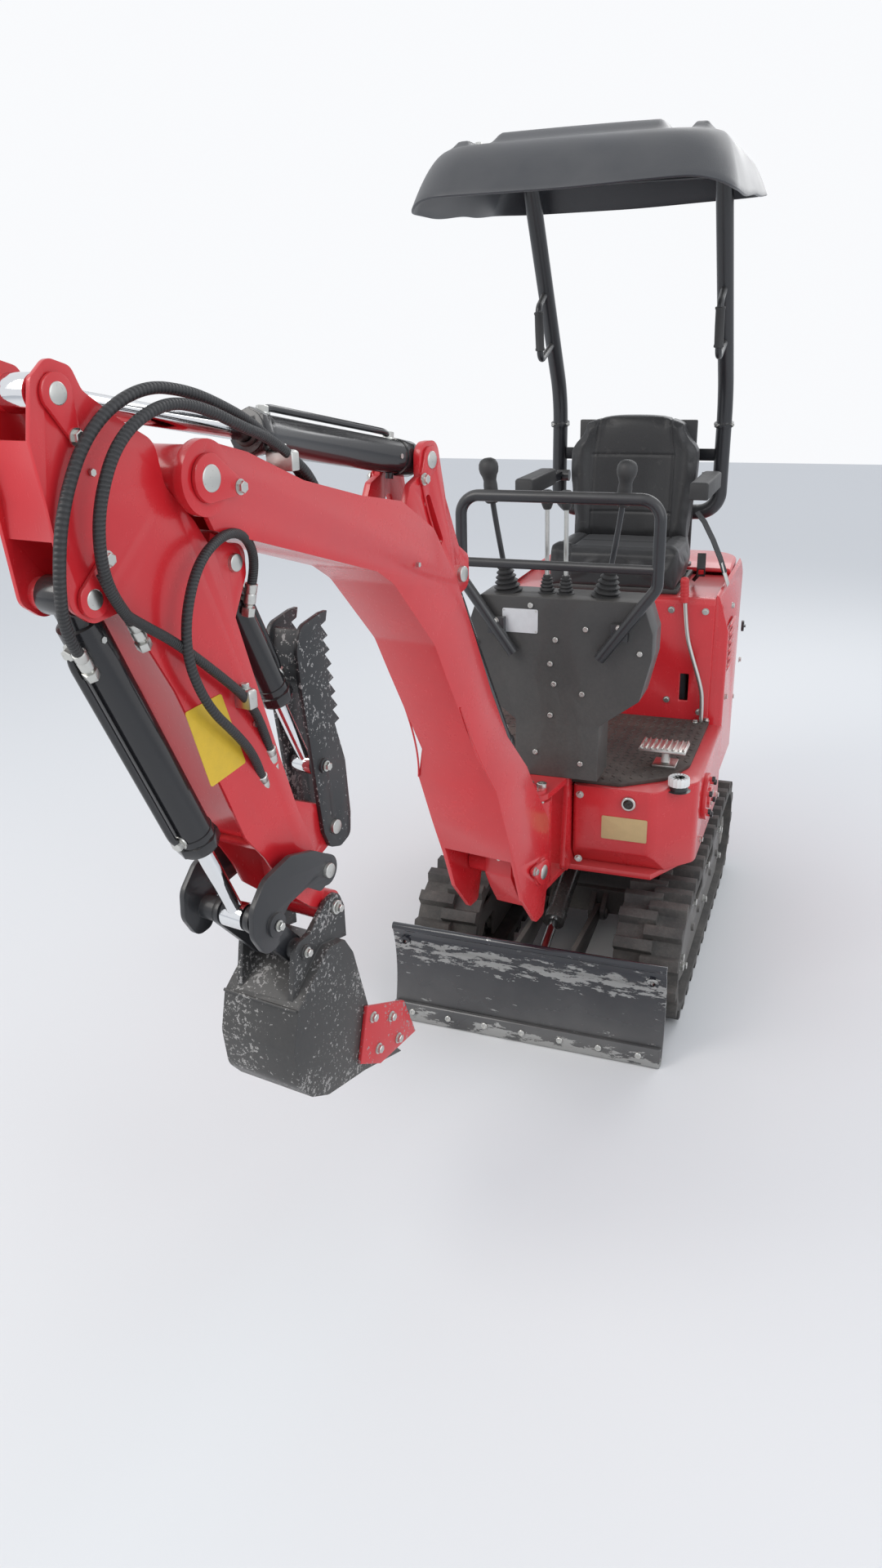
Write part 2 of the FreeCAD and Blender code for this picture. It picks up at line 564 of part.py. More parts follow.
# Seat, armrests and the seat belt's anchors
SEAT_HALF = 196.0
seat_side = [(150, SEAT_TOP_Z), (445, SEAT_TOP_Z), (452, 1060, 30), (466, 1468, 25), (412, 1468, 30), (385, 1140, 60),
             (300, 1105, 40), (140, 1120, 35)]
seat_front = [(-SEAT_HALF, SEAT_TOP_Z), (SEAT_HALF, SEAT_TOP_Z), (SEAT_HALF, 1395, 40), (150, 1462, 60), (0, 1470),
              (-150, 1462, 60), (-SEAT_HALF, 1395, 40)]
seat = plate_x(seat_side, -SEAT_HALF, SEAT_HALF).common(plate_y(seat_front, 100, 520))
nodes["seat"] = seat
rests = []
for side in (1, -1):
    pad = plate_x([(75, 1270, 10), (330, 1260, 14), (330, 1304, 14), (75, 1308, 16)], 218, 266)
    bar = box(220, 238, 320, 430, 1266, 1292)
    pivot = disc_x((426, 1279), 17.0, SEAT_HALF + RUN_GAP, 238)
    rest = join([pad, bar, pivot])
    rests.append(rest if side == 1 else mirrored(rest))
nodes["armrests"] = Part.makeCompound(rests)

# Canopy posts: from the hood up, out to the sides, then leaning forward to a frame under the roof
POST_R = 22.0
LEAN_Y = 141.0
LEAN_Z = CEILING_Z - 540.0


def on_lean(share, forward=0.0, down=0.0):
    """Y and Z on the leaning part of a post, or beside it."""
    y = POST_Y - share * (POST_Y - LEAN_Y)
    return y - forward, LEAN_Z + share * (CEILING_Z - LEAN_Z) - down


posts = []
for side in (1, -1):
    post = tube_path([
        (side * 130, POST_Y, HOOD_Z), (side * 130, POST_Y, 1172, 50), (side * POST_X, POST_Y, 1172, 60),
        (side * POST_X, POST_Y, LEAN_Z, 260), (side * POST_X, LEAN_Y, CEILING_Z),
    ], POST_R)
    collar = rod((side * POST_X, POST_Y, LEAN_Z - 80), (side * POST_X, POST_Y - 2, LEAN_Z - 70), POST_R + 6)
    handle = tube_path([
        (side * POST_X, *on_lean(0.54)), (side * POST_X, *on_lean(0.54, 75, 42), 22),
        (side * POST_X, *on_lean(0.29, 135, 46), 22), (side * POST_X, *on_lean(0.29)),
    ], 9.0)
    posts.append(join([post, collar, handle]))
cross_bar = box(-POST_X, POST_X, POST_Y - 5, POST_Y + 3, 1322, 1356)
bar_half = POST_X + 18
ceiling = [box(-bar_half, bar_half, y, y + 36, CEILING_Z - 10, CEILING_Z + 10) for y in (LEAN_Y - 20, -375)]
ceiling += [box(s * POST_X - 18, s * POST_X + 18, -360, LEAN_Y, CEILING_Z - 10, CEILING_Z + 10) for s in (1, -1)]
roof_seats = []
for y in (-300, 60):
    roof_seats += [box(s * POST_X - 14, s * POST_X + 14, y, y + 40, CEILING_Z + 10, ROOF_TOP - ROOF_T) for s in (1, -1)]
nodes["canopy_posts"] = join(posts + [cross_bar] + ceiling + roof_seats)


def ring_wire(half, y0, y1, r, z):
    return outline([(-half, y0, r), (half, y0, r), (half, y1, r), (-half, y1, r)], lambda p: V(p.x, p.y, z))


# Canopy roof: a moulded shell, its front and rear hems raised between the side skirts
# inset, corner radius and height of each section
roof_rows = [(0, 115, HEM_Z), (7, 110, SHOULDER_Z), (58, 90, ROOF_TOP)]
outer = []
inner = []
for inset, radius, z in roof_rows:
    half = ROOF_HALF - inset
    y0 = ROOF_FRONT + inset * 2.4
    y1 = ROOF_REAR - inset * 1.2
    outer.append(ring_wire(half, y0, y1, radius, z))
    drop = 5.0 if z == HEM_Z else ROOF_T
    inner.append(ring_wire(half - ROOF_T, y0 + ROOF_T, y1 - ROOF_T, radius - ROOF_T, z - drop))
shell = Part.makeLoft(outer, True, True)
roof_void = Part.makeLoft(inner, True, True)
arch = [(-ROOF_HALF + 62, HEM_Z - 40), (ROOF_HALF - 62, HEM_Z - 40), (ROOF_HALF - 62, ARCH_Z, 24),
        (62 - ROOF_HALF, ARCH_Z, 24)]
top_half = POST_X - 50
plateau = Part.makeLoft([ring_wire(top_half, -395, 120, 70, ROOF_TOP - 4),
                         ring_wire(top_half - 18, -330, 95, 60, ROOF_TOP + 28)], True, True)
rails = []
for side in (1, -1):
    edges = []
    for near, far, y0, y1, z in ((-10, 38, -380, 130, ROOF_TOP - 4), (-2, 24, -340, 105, ROOF_TOP + 14)):
        x0, x1 = side * (POST_X + near), side * (POST_X + far)
        edges.append(Part.makePolygon([V(x0, y0, z), V(x1, y0, z), V(x1, y1, z), V(x0, y1, z), V(x0, y0, z)]))
    rails.append(Part.makeLoft(edges, True, True))
roof = join([shell, plateau] + rails).cut(roof_void)
roof = roof.cut(plate_y(arch, ROOF_FRONT - 20, ROOF_REAR + 20))
nodes["canopy_roof"] = roof

# Boom group, made in its own plane about the swing axis

group_nodes = {}

# Swing post: a cast nose with a D-shaped window, the pin's hub and the boom foot's tube
HUB_R = 42.0
HUB_LOW = 412.0
HUB_TOP = 638.0
POST_HALF = 34.0
post_side = [(30, HUB_LOW), (30, HUB_TOP), (-48, HUB_TOP), (-62, 700, 24), (-88, 718, 20), (-125, 712, 20), (-140, 650),
             (-198, 590, 20), (-205, 520, 20), (-178, 470), (-140, 414, 10), (-100, HUB_LOW)]
post = plate_x(post_side, -POST_HALF, POST_HALF)
post = post.cut(plate_x([(-55, 470, 20), (-55, 600, 20), (-100, 590, 20), (-112, 540, 20), (-95, 480, 20)], -60, 60))
ear_slot = [(-240, 604), (-30, 632), (-30, 780), (-240, 780)]
post = post.cut(plate_x(ear_slot, -EAR_IN + 4, EAR_IN - 4))
hub = Part.makeCylinder(HUB_R, HUB_TOP - HUB_LOW, V(0, 0, HUB_LOW))
foot_tube = disc_x(FOOT, 28.0, -FOOT_HALF + FOOT_WALL + RUN_GAP, FOOT_HALF - FOOT_WALL - RUN_GAP)
post = join([post, hub, foot_tube])
post = post.cut(Part.makeCylinder(20.0 + PIN_FIT, 400, V(0, 0, 350)))
post = post.cut(disc_x(FOOT, BIG_PIN_R + PIN_FIT, -120, 120))
group_nodes["swing_post"] = join([post] + both_sides(disc_x(POST_EAR, SMALL_PIN_R, EAR_IN - 4, 42)))

# Boom: a box of plates, flared to its foot, with a fork at the tip
boom_upper = [(-1162, 1583), (-1071, 1558), (-949, 1507), (-803, 1467), (-682, 1442, 30), (-575, 1380, 60),
              (-489, 1262, 60), (-427, 1151), (-360, 1024), (-499, 1024), (-544, 1101), (-586, 1175, 60),
              (-717, 1312, 60), (-766, 1342, 40), (-999, 1418), (-1152, 1468), (-1162, 1487)]
inner_upper = [(-1300, 1640), (-1084, 1640), (-1084, 1546), (-949, 1499), (-803, 1459), (-684, 1434, 24),
               (-581, 1374, 54), (-496, 1257, 54), (-434, 1147), (-368, 1023), (-489, 1023), (-537, 1105),
               (-580, 1180, 60), (-712, 1318, 60), (-762, 1350, 40), (-997, 1426), (-1084, 1454), (-1084, 1380),
               (-1300, 1380)]
lower_side = [(-396, 822), (-245, 822), (-200, 752), (-125, 650, 30), (-116, 560, 20), (-125, 490, 20),
              (-148, 410, 14), (-190, 410, 14), (-262, 500, 20), (-300, 600, 20), (-345, 700)]
body = plate_x(boom_upper, -BOOM_HALF, BOOM_HALF)
lobe = disc_x(BOOM_TIP, 48.0, -BOOM_HALF - 6, BOOM_HALF + 6)


def section(half, y0, y1, z):
    return Part.makePolygon([V(-half, y0, z), V(half, y0, z), V(half, y1, z), V(-half, y1, z), V(-half, y0, z)])


straight = Part.makeLoft([section(BOOM_HALF, -499, -360, 1024), section(BOOM_HALF, -426, -284, 900)], True, True)
flare = Part.makeLoft([section(BOOM_HALF, -426, -284, 900), section(FOOT_HALF, -396, -245, 822)], True, True)
inside = BOOM_HALF - BOOM_WALL
straight_void = Part.makeLoft([section(inside, -489, -368, 1024), section(inside, -418, -293, 900)], True, True)
flare_void = Part.makeLoft([section(inside, -418, -293, 900), section(FOOT_HALF - FOOT_WALL, -388, -255, 822)],
                           True, True)
lower = plate_x(lower_side, -FOOT_HALF, FOOT_HALF)
lower_void = [(-388, 823), (0, 823), (0, 380), (-420, 380), (-420, 560), (-292, 625), (-337, 705)]
lower_cut = plate_x(lower_void, -FOOT_HALF + FOOT_WALL, FOOT_HALF - FOOT_WALL)
ear_side = [(-640, 1425), (-620, 1460, 10), (-590, 1470), (-588, 1525, 26), (-527, 1525, 26), (-500, 1422),
            (-454, 1330), (-415, 1306, 18), (-415, 1247, 22), (-448, 1240), (-466, 1215), (-520, 1262), (-590, 1370)]
slot = [(-578, 1428, 9), (-560, 1440, 9), (-512, 1350, 9), (-530, 1330, 9)]
ear = plate_x(ear_side, BOOM_EAR_IN, BOOM_EAR_OUT).cut(plate_x(slot, BOOM_EAR_IN - 1, BOOM_EAR_OUT + 1))
stops = both_sides(disc_x(FOOT, 34.0, FOOT_HALF, FOOT_HALF + 5))
boom = join([body, lobe, straight, flare, lower] + both_sides(ear) + stops)
boom = boom.cut(plate_x(inner_upper, -inside, inside))
boom = boom.cut(straight_void)
boom = boom.cut(flare_void)
boom = boom.cut(lower_cut)
for pin in (FOOT, BOOM_TIP):
    boom = boom.cut(disc_x(pin, BIG_PIN_R, -150, 150))
for pin in (BOOM_CYL, REAR_EAR):
    boom = boom.cut(disc_x(pin, MID_PIN_R, -150, 150))
group_nodes["boom"] = boom
foot_end = FOOT_HALF + 12
group_nodes["boom_pins"] = Part.makeCompound([
    disc_x(FOOT, BIG_PIN_R, -foot_end, foot_end),
    disc_x(BOOM_TIP, BIG_PIN_R, -BOOM_HALF - 14, BOOM_HALF + 14),
    disc_x(BOOM_CYL, MID_PIN_R, -BOOM_EAR_OUT - 8, BOOM_EAR_OUT + 8),
    disc_x(REAR_EAR, MID_PIN_R, -BOOM_EAR_OUT - 8, BOOM_EAR_OUT + 8),
])

base_half = BOOM_EAR_IN - RUN_GAP
barrel, end = cylinder_pair(BOOM_CYL, POST_EAR, 28.0, 14.0, 520.0, (26.0, 231.0), base_half, 19.5, 22.0)
barrel = barrel.cut(disc_x(BOOM_CYL, MID_PIN_R + PIN_FIT, -60, 60))
group_nodes["boom_cylinder_barrel"] = barrel
group_nodes["boom_cylinder_rod"] = end

# Arm: two side plates proud of a recessed front plate, open over its cylinder's foot
arm_side = [(-1396, 1664, 8), (-1370, 1684, 16), (-1338, 1674, 16), (-1326, 1648, 20), (-1272, 1612),
            (-1222, 1585, 30), (-1212, 1530, 30), (-1166, 1482, 30), (-1131, 1431), (-1064, 1219), (-1030, 1106),
            (-999, 1013), (-962, 925), (-942, 860), (-952, 812), (-985, 832, 20), (-1046, 886, 20), (-1064, 925),
            (-1088, 965), (-1128, 1015), (-1160, 1095), (-1236, 1272), (-1306, 1396, 20), (-1359, 1390, 24),
            (-1388, 1412, 20), (-1400, 1532), (-1410, 1600)]
arm_inside = ARM_HALF - ARM_WALL
arm = plate_x(arm_side, -ARM_HALF, ARM_HALF)
arm_void = [(-1430, 1370), (-1312, 1370), (-1296, 1400), (-1227, 1277), (-1151, 1100), (-1119, 1022), (-1082, 985),
            (-1024, 985), (-1040, 1072), (-1073, 1180), (-1139, 1425), (-1176, 1476), (-1204, 1536), (-1218, 1575),
            (-1214, 1760), (-1430, 1760)]
arm = arm.cut(plate_x(arm_void, -arm_inside, arm_inside))
# The nose is open in front, where the bucket's link comes up between the side plates
nose_void = [(-1150, 1000), (-1085, 980), (-1006, 960), (-998, 905), (-992, 862), (-968, 846), (-975, 790), (-1150, 790)]
arm = arm.cut(plate_x(nose_void, -arm_inside - 2, arm_inside + 2))
recess = [(-1330, 1396), (-1236, 1255), (-1160, 1078), (-1128, 998), (-1100, 998), (-1122, 1020), (-1153, 1100),
          (-1229, 1277), (-1299, 1400)]
arm = arm.cut(plate_x(recess, -arm_inside, arm_inside))
front_plate = plate_x([(-1390, 1490), (-1384, 1490), (-1384, 1532), (-1394, 1600), (-1400, 1600), (-1390, 1532)],
                      -ARM_HALF + ARM_WALL / 2, ARM_HALF - ARM_WALL / 2)
front_wall = plate_x([(-1296, 1392), (-1222, 1262), (-1148, 1088), (-1140, 1092), (-1214, 1266), (-1287, 1396)],
                     -ARM_HALF + ARM_WALL / 2, ARM_HALF - ARM_WALL / 2)
bosses = [
    disc_x(BOOM_TIP, 40.0, -inside + RUN_GAP, inside - RUN_GAP),
    disc_x(ROCKER, 25.0, -ROCKER_IN + RUN_GAP, ROCKER_IN - RUN_GAP),
    disc_x(BUCKET_PIN, 27.0, -BUCKET_EAR_IN + RUN_GAP, BUCKET_EAR_IN - RUN_GAP),
]
for pin in (BUCKET_CYL, ARM_TOP):
    bosses += both_sides(disc_x(pin, 20.0, EAR_IN, ARM_HALF))
thumb_ear = plate_x([(-1128, 1460), (-1140, 1420), (-1098, 1330), (-1062, 1392, 20), (-1060, 1436, 22), (-1092, 1440, 20)],
                    EAR_IN, EAR_OUT)
thumb_lug = plate_x([(-1000, 1010), (-992, 1020), (-872, 962, 20), (-856, 933, 20), (-880, 905, 20), (-960, 880)],
                    -THUMB_IN + RUN_GAP, THUMB_IN - RUN_GAP)
arm = join([arm, front_plate, front_wall, thumb_lug] + bosses + both_sides(thumb_ear))
arm = arm.cut(disc_x(BOOM_TIP, BIG_PIN_R + PIN_FIT, -100, 100))
for pin in (ROCKER, BUCKET_PIN, BUCKET_CYL, ARM_TOP, THUMB_CYL, THUMB_FOOT):
    arm = arm.cut(disc_x(pin, SMALL_PIN_R, -100, 100))
group_nodes["arm"] = arm
arm_pins = [
    disc_x(ROCKER, SMALL_PIN_R, -ROCKER_OUT - 6, ROCKER_OUT + 6),
    disc_x(BUCKET_PIN, SMALL_PIN_R, -BUCKET_EAR_OUT - 5, BUCKET_EAR_OUT + 5),
    disc_x(BUCKET_CYL, SMALL_PIN_R, -ARM_HALF - 8, ARM_HALF + 8),
    disc_x(THUMB_CYL, SMALL_PIN_R, -EAR_OUT - 6, EAR_OUT + 6),
    disc_x(THUMB_FOOT, SMALL_PIN_R, -THUMB_OUT - 6, THUMB_OUT + 6),
]
arm_pins += both_sides(disc_x(ARM_TOP, SMALL_PIN_R, EAR_IN, ARM_HALF + 8))
group_nodes["arm_pins"] = Part.makeCompound(arm_pins)

barrel, end = cylinder_pair(REAR_EAR, ARM_TOP, 28.0, 14.0, 440.0, (347.0, 2.0), base_half, 20.0, 22.0)
barrel = barrel.cut(disc_x(REAR_EAR, MID_PIN_R + PIN_FIT, -60, 60))
group_nodes["arm_cylinder_barrel"] = barrel
group_nodes["arm_cylinder_rod"] = end

barrel, end = cylinder_pair(BUCKET_CYL, ROD_PIN, 28.0, 13.0, 440.0, (56.0, 153.0), EAR_IN - RUN_GAP, 20.0, 22.0)
barrel = barrel.cut(disc_x(BUCKET_CYL, SMALL_PIN_R + PIN_FIT, -60, 60))
group_nodes["bucket_cylinder_barrel"] = barrel
group_nodes["bucket_cylinder_rod"] = end

# Rocker plates, link and bucket
rocker_side = [(-944, 880, 12), (-944, 912, 16), (-1000, 945, 30), (-1060, 962, 30), (-1125, 950, 30), (-1160, 915, 30),
               (-1164, 870, 30), (-1140, 828, 24), (-1104, 830, 16), (-1092, 872, 12), (-1072, 886, 12),
               (-1025, 892, 16), (-990, 868, 10)]
LINK_OUT = EAR_OUT - 1
rocker = join([
    plate_x(rocker_side, ROCKER_IN, ROCKER_OUT),
    disc_x(ROCKER, 26.0, ROCKER_IN, ROCKER_OUT),
    disc_x(ROD_PIN, 20.0, LINK_OUT + RUN_GAP, ROCKER_OUT + 6),
])
rocker = rocker.cut(disc_x(ROCKER, SMALL_PIN_R + PIN_FIT, -100, 100))
group_nodes["rocker_plates"] = Part.makeCompound(both_sides(rocker))

link_parts = both_sides(link_plate(ROD_PIN, LINK_PIN, 22.0, 22.0, EAR_IN, LINK_OUT))
link_parts.append(disc_x(LINK_PIN, 18.0, -BUCKET_EAR_IN + RUN_GAP, BUCKET_EAR_IN - RUN_GAP))
group_nodes["bucket_link"] = join(link_parts).cut(disc_x(LINK_PIN, SMALL_PIN_R + PIN_FIT, -100, 100))

bucket_outer = [(-938, 752), (-985, 762, 20), (-1081, 692, 14), (-1099, 625, 40), (-1092, 552, 40), (-1062, 513, 30),
                (-1016, 486, 30), (-901, 461), (-776, 422), (-795, 444), (-877, 577, 20), (-916, 717, 10)]
bucket_inner = [(-925, 742), (-984, 755, 14), (-1076, 688, 10), (-1092, 625, 36), (-1086, 555, 36), (-1058, 519, 26),
                (-1014, 493, 26), (-899, 469), (-800, 440), (-700, 440), (-800, 760)]
shell = plate_x(bucket_outer, -BUCKET_HALF, BUCKET_HALF)
shell = shell.cut(plate_x(bucket_inner, -BUCKET_HALF + BUCKET_WALL, BUCKET_HALF - BUCKET_WALL))
ear = plate_x([(-908, 740), (-908, 800, 20), (-925, 836, 20), (-960, 830, 16), (-1010, 796, 10), (-1050, 795, 20),
               (-1058, 760, 20), (-1070, 699), (-985, 758)], BUCKET_EAR_IN, BUCKET_EAR_OUT)
bucket = join([shell] + both_sides(ear))
bucket = bucket.cut(disc_x(BUCKET_PIN, SMALL_PIN_R + PIN_FIT, -100, 100))
link_pin = disc_x(LINK_PIN, SMALL_PIN_R, -BUCKET_EAR_OUT - 5, BUCKET_EAR_OUT + 5)
group_nodes["bucket"] = join([bucket, link_pin])
cutter = plate_x([(-894, 595), (-771, 535), (-734, 444), (-862, 452), (-925, 492)], BUCKET_HALF, BUCKET_HALF + 8)
group_nodes["side_cutters"] = Part.makeCompound(both_sides(cutter))

# Thumb: two plates with teeth, a web at their tips and a tube boss at the cylinder's eye
TEETH_COUNT = 8
thumb_side = [(-868, 1298), (-886, 1298), (-940, 1288, 24), (-954, 1252, 30), (-948, 1184), (-934, 1071),
              (-916, 933, 20), (-900, 900, 14), (-871, 890, 16), (-840, 900, 16), (-836, 940), (-843, 1039)]
for i in range(TEETH_COUNT):
    z = 1110 + i * 24
    thumb_side += [(-866 - i * 3.0, z), (-852 - i * 3.0, z + 4)]
web = plate_x([(-934, 1280), (-943, 1248), (-938, 1180), (-925, 1180), (-926, 1280)], -THUMB_IN, THUMB_IN)
thumb = join(both_sides(plate_x(thumb_side, THUMB_IN, THUMB_OUT)) + [web])
thumb = thumb.cut(disc_x(THUMB_FOOT, SMALL_PIN_R + PIN_FIT, -100, 100))
stubs = both_sides(disc_x(THUMB_EYE, SMALL_PIN_R, THUMB_IN - 3, THUMB_OUT + 6))
group_nodes["thumb"] = join([thumb] + stubs)
barrel, end = cylinder_pair(THUMB_CYL, THUMB_EYE, 22.0, 10.0, 262.0, (2.0, 191.0), 20.0, 18.0, 18.0)
barrel = barrel.cut(disc_x(THUMB_CYL, SMALL_PIN_R + PIN_FIT, -60, 60))
group_nodes["thumb_cylinder_barrel"] = barrel
group_nodes["thumb_cylinder_rod"] = end

for name, shape in group_nodes.items():
    placed = shape.copy()
    placed.rotate(V(0, 0, 0), V(0, 0, 1), SWING_REST)
    placed.translate(V(SWING_X, SWING_Y, 0))
    nodes[name] = placed

whole = Part.makeCompound(list(nodes.values())).optimalBoundingBox(False)
shift = V(-(whole.XMin + whole.XMax) / 2, -(whole.YMin + whole.YMax) / 2, -whole.ZMin)
print("shift", round(shift.x, 4), round(shift.y, 4), round(shift.z, 4))
print("size", round(whole.XLength, 1), round(whole.YLength, 1), round(whole.ZLength, 1))

os.makedirs("parts", exist_ok=True)
for name, shape in nodes.items():
    placed = shape.copy()
    placed.translate(shift)
    placed.exportStep(os.path.join("parts", name + ".step"))
    print(name, placed.isValid(), len(placed.Solids), round(placed.Volume / 1e6, 3))
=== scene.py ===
import json
import math

import bpy
from mathutils import Matrix, Vector

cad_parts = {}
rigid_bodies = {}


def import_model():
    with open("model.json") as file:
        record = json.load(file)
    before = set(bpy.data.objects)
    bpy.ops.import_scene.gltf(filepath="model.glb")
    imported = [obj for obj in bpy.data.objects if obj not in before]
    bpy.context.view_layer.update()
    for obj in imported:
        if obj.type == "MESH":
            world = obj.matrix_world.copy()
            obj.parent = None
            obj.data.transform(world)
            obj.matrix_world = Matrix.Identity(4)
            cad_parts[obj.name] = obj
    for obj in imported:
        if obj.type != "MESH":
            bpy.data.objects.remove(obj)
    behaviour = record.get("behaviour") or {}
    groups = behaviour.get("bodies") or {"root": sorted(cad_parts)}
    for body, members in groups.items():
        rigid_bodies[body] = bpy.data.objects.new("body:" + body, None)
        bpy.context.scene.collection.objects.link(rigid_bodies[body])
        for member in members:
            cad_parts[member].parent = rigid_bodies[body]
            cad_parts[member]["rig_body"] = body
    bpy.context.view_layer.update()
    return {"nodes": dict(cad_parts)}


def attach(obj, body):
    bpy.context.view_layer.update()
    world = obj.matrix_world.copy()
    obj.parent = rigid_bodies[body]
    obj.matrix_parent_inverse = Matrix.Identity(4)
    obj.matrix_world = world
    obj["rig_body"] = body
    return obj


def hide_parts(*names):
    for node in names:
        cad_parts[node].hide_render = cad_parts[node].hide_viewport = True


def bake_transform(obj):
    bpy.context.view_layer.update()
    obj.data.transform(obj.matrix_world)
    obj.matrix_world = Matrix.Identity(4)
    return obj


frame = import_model()
cad = frame["nodes"]
bpy.ops.object.select_all(action="DESELECT")

# Camera: it stands where the photographer stood, in front of the machine and to its left,
# at eye height, and looks down a little past the boom.
camera_data = bpy.data.cameras.new("camera")
camera_data.sensor_fit = "VERTICAL"
camera_data.sensor_height = 36.0
camera_data.sensor_width = 36.0
camera_data.lens = 25.3
camera = bpy.data.objects.new("camera", camera_data)
bpy.context.scene.collection.objects.link(camera)
camera.matrix_world = Matrix((
    (0.93685, -0.11201, 0.3314, 0.6600),
    (0.34897, 0.36476, -0.8632, -2.3623),
    (-0.02421, 0.92439, 0.3808, 1.7000),
    (0.0, 0.0, 0.0, 1.0),
))
bpy.context.scene.camera = camera

# Floor and light: a plain pale floor under an even white sky, with one large soft lamp from
# the front left and a weaker one from the right. Gloss and metal see the pale sky as well.


class Wire:
    """A socket in a material. Sums, products and comparisons of wires become Math nodes."""

    def __init__(self, tree, socket=None):
        self.tree = tree
        self.socket = socket

    def node(self, kind, inputs=None, settings=None, stops=None, output=0):
        made = self.tree.nodes.new(kind)
        for key, value in (settings or {}).items():
            setattr(made, key, value)
        if stops:
            ramp = made.color_ramp.elements
            while len(ramp) < len(stops):
                ramp.new(0.5)
            for element, (place, shade) in zip(ramp, stops):
                element.position = place
                element.color = (*shade, 1.0)
        for key, value in (inputs or {}).items():
            if isinstance(value, Wire):
                self.tree.links.new(value.socket, made.inputs[key])
            else:
                made.inputs[key].default_value = value
        return Wire(self.tree, made.outputs[output]) if made.outputs else made

    def maths(self, operation, first, second=0.0):
        return self.node("ShaderNodeMath", {0: first, 1: second}, {"operation": operation})

    def __add__(self, other):
        return self.maths("ADD", self, other)

    def __radd__(self, other):
        return self.maths("ADD", other, self)

    def __sub__(self, other):
        return self.maths("SUBTRACT", self, other)

    def __rsub__(self, other):
        return self.maths("SUBTRACT", other, self)

    def __mul__(self, other):
        return self.maths("MULTIPLY", self, other)

    def __rmul__(self, other):
        return self.maths("MULTIPLY", other, self)

    def __truediv__(self, other):
        return self.maths("DIVIDE", self, other)

    def __gt__(self, other):
        return self.maths("GREATER_THAN", self, other)

    def __lt__(self, other):
        return self.maths("LESS_THAN", self, other)

    def __pow__(self, other):
        return self.maths("POWER", self, other)

    def __mod__(self, other):
        return self.maths("FLOORED_MODULO", self, other)

    def __abs__(self):
        return self.maths("ABSOLUTE", self)

    def blend(self, share, first, second):
        """A colour between two others, each a triple or a wire."""
        first = first if isinstance(first, Wire) else (*first, 1.0)
        second = second if isinstance(second, Wire) else (*second, 1.0)
        return self.node("ShaderNodeMix", {0: share, 6: first, 7: second}, {"data_type": "RGBA"}, output=2)


def new_material(name):
    """An empty material and the first wire of its tree."""
    material = bpy.data.materials.new(name)
    material.use_nodes = True
    material.node_tree.nodes.clear()
    return material, Wire(material.node_tree)


world = bpy.data.worlds.new("pale_sky")
bpy.context.scene.world = world
world.use_nodes = True
world.node_tree.nodes.clear()
sky = Wire(world.node_tree)
seen = sky.node("ShaderNodeLightPath", output=0)
glossy = sky.node("ShaderNodeLightPath", output=3)
through = sky.node("ShaderNodeLightPath", output=6)
lit_sky = sky.node("ShaderNodeBackground", {0: (0.86, 0.91, 1.0, 1.0), 1: 0.84})
shown_sky = sky.node("ShaderNodeBackground", {0: (0.95, 0.96, 0.98, 1.0), 1: 1.0})
any_view = sky.maths("MAXIMUM", sky.maths("MAXIMUM", seen, glossy * 0.75), through)
sky.node("ShaderNodeOutputWorld", {0: sky.node("ShaderNodeMixShader", {0: any_view, 1: lit_sky, 2: shown_sky})})

bpy.ops.mesh.primitive_plane_add(size=24.0, location=(0.0, 1.0, 0.0))
floor = bpy.context.object
floor.name = "floor"
pale_floor, f = new_material("pale_floor")
mottle = f.node("ShaderNodeTexNoise", {"Scale": 3.0, "Detail": 4.0})
floor_shade = f.node("ShaderNodeMix", {0: mottle, 6: (0.74, 0.74, 0.73, 1), 7: (0.80, 0.80, 0.79, 1)},
                     {"data_type": "RGBA"}, output=2)
floor_surface = f.node("ShaderNodeBsdfPrincipled", {"Base Color": floor_shade, "Roughness": 0.85})
f.node("ShaderNodeOutputMaterial", {0: floor_surface})
floor.data.materials.append(pale_floor)

for name, place, size, watts, tint in (
    ("key_lamp", (-2.6, -3.4, 4.2), 2.8, 105.0, (1.0, 0.97, 0.93)),
    ("fill_lamp", (3.6, -1.6, 2.8), 2.6, 36.0, (0.95, 0.97, 1.0)),
    ("back_lamp", (0.8, 3.8, 3.6), 2.6, 46.0, (1.0, 1.0, 1.0)),
):
    lamp_data = bpy.data.lights.new(name, "AREA")
    lamp_data.size = size
    lamp_data.energy = watts
    lamp_data.color = tint
    lamp = bpy.data.objects.new(name, lamp_data)
    bpy.context.scene.collection.objects.link(lamp)
    lamp.location = place
    lamp.rotation_euler = (Vector((0.0, 0.1, 0.9)) - Vector(place)).to_track_quat("-Z", "Y").to_euler()
bpy.context.scene.view_settings.view_transform = "Standard"


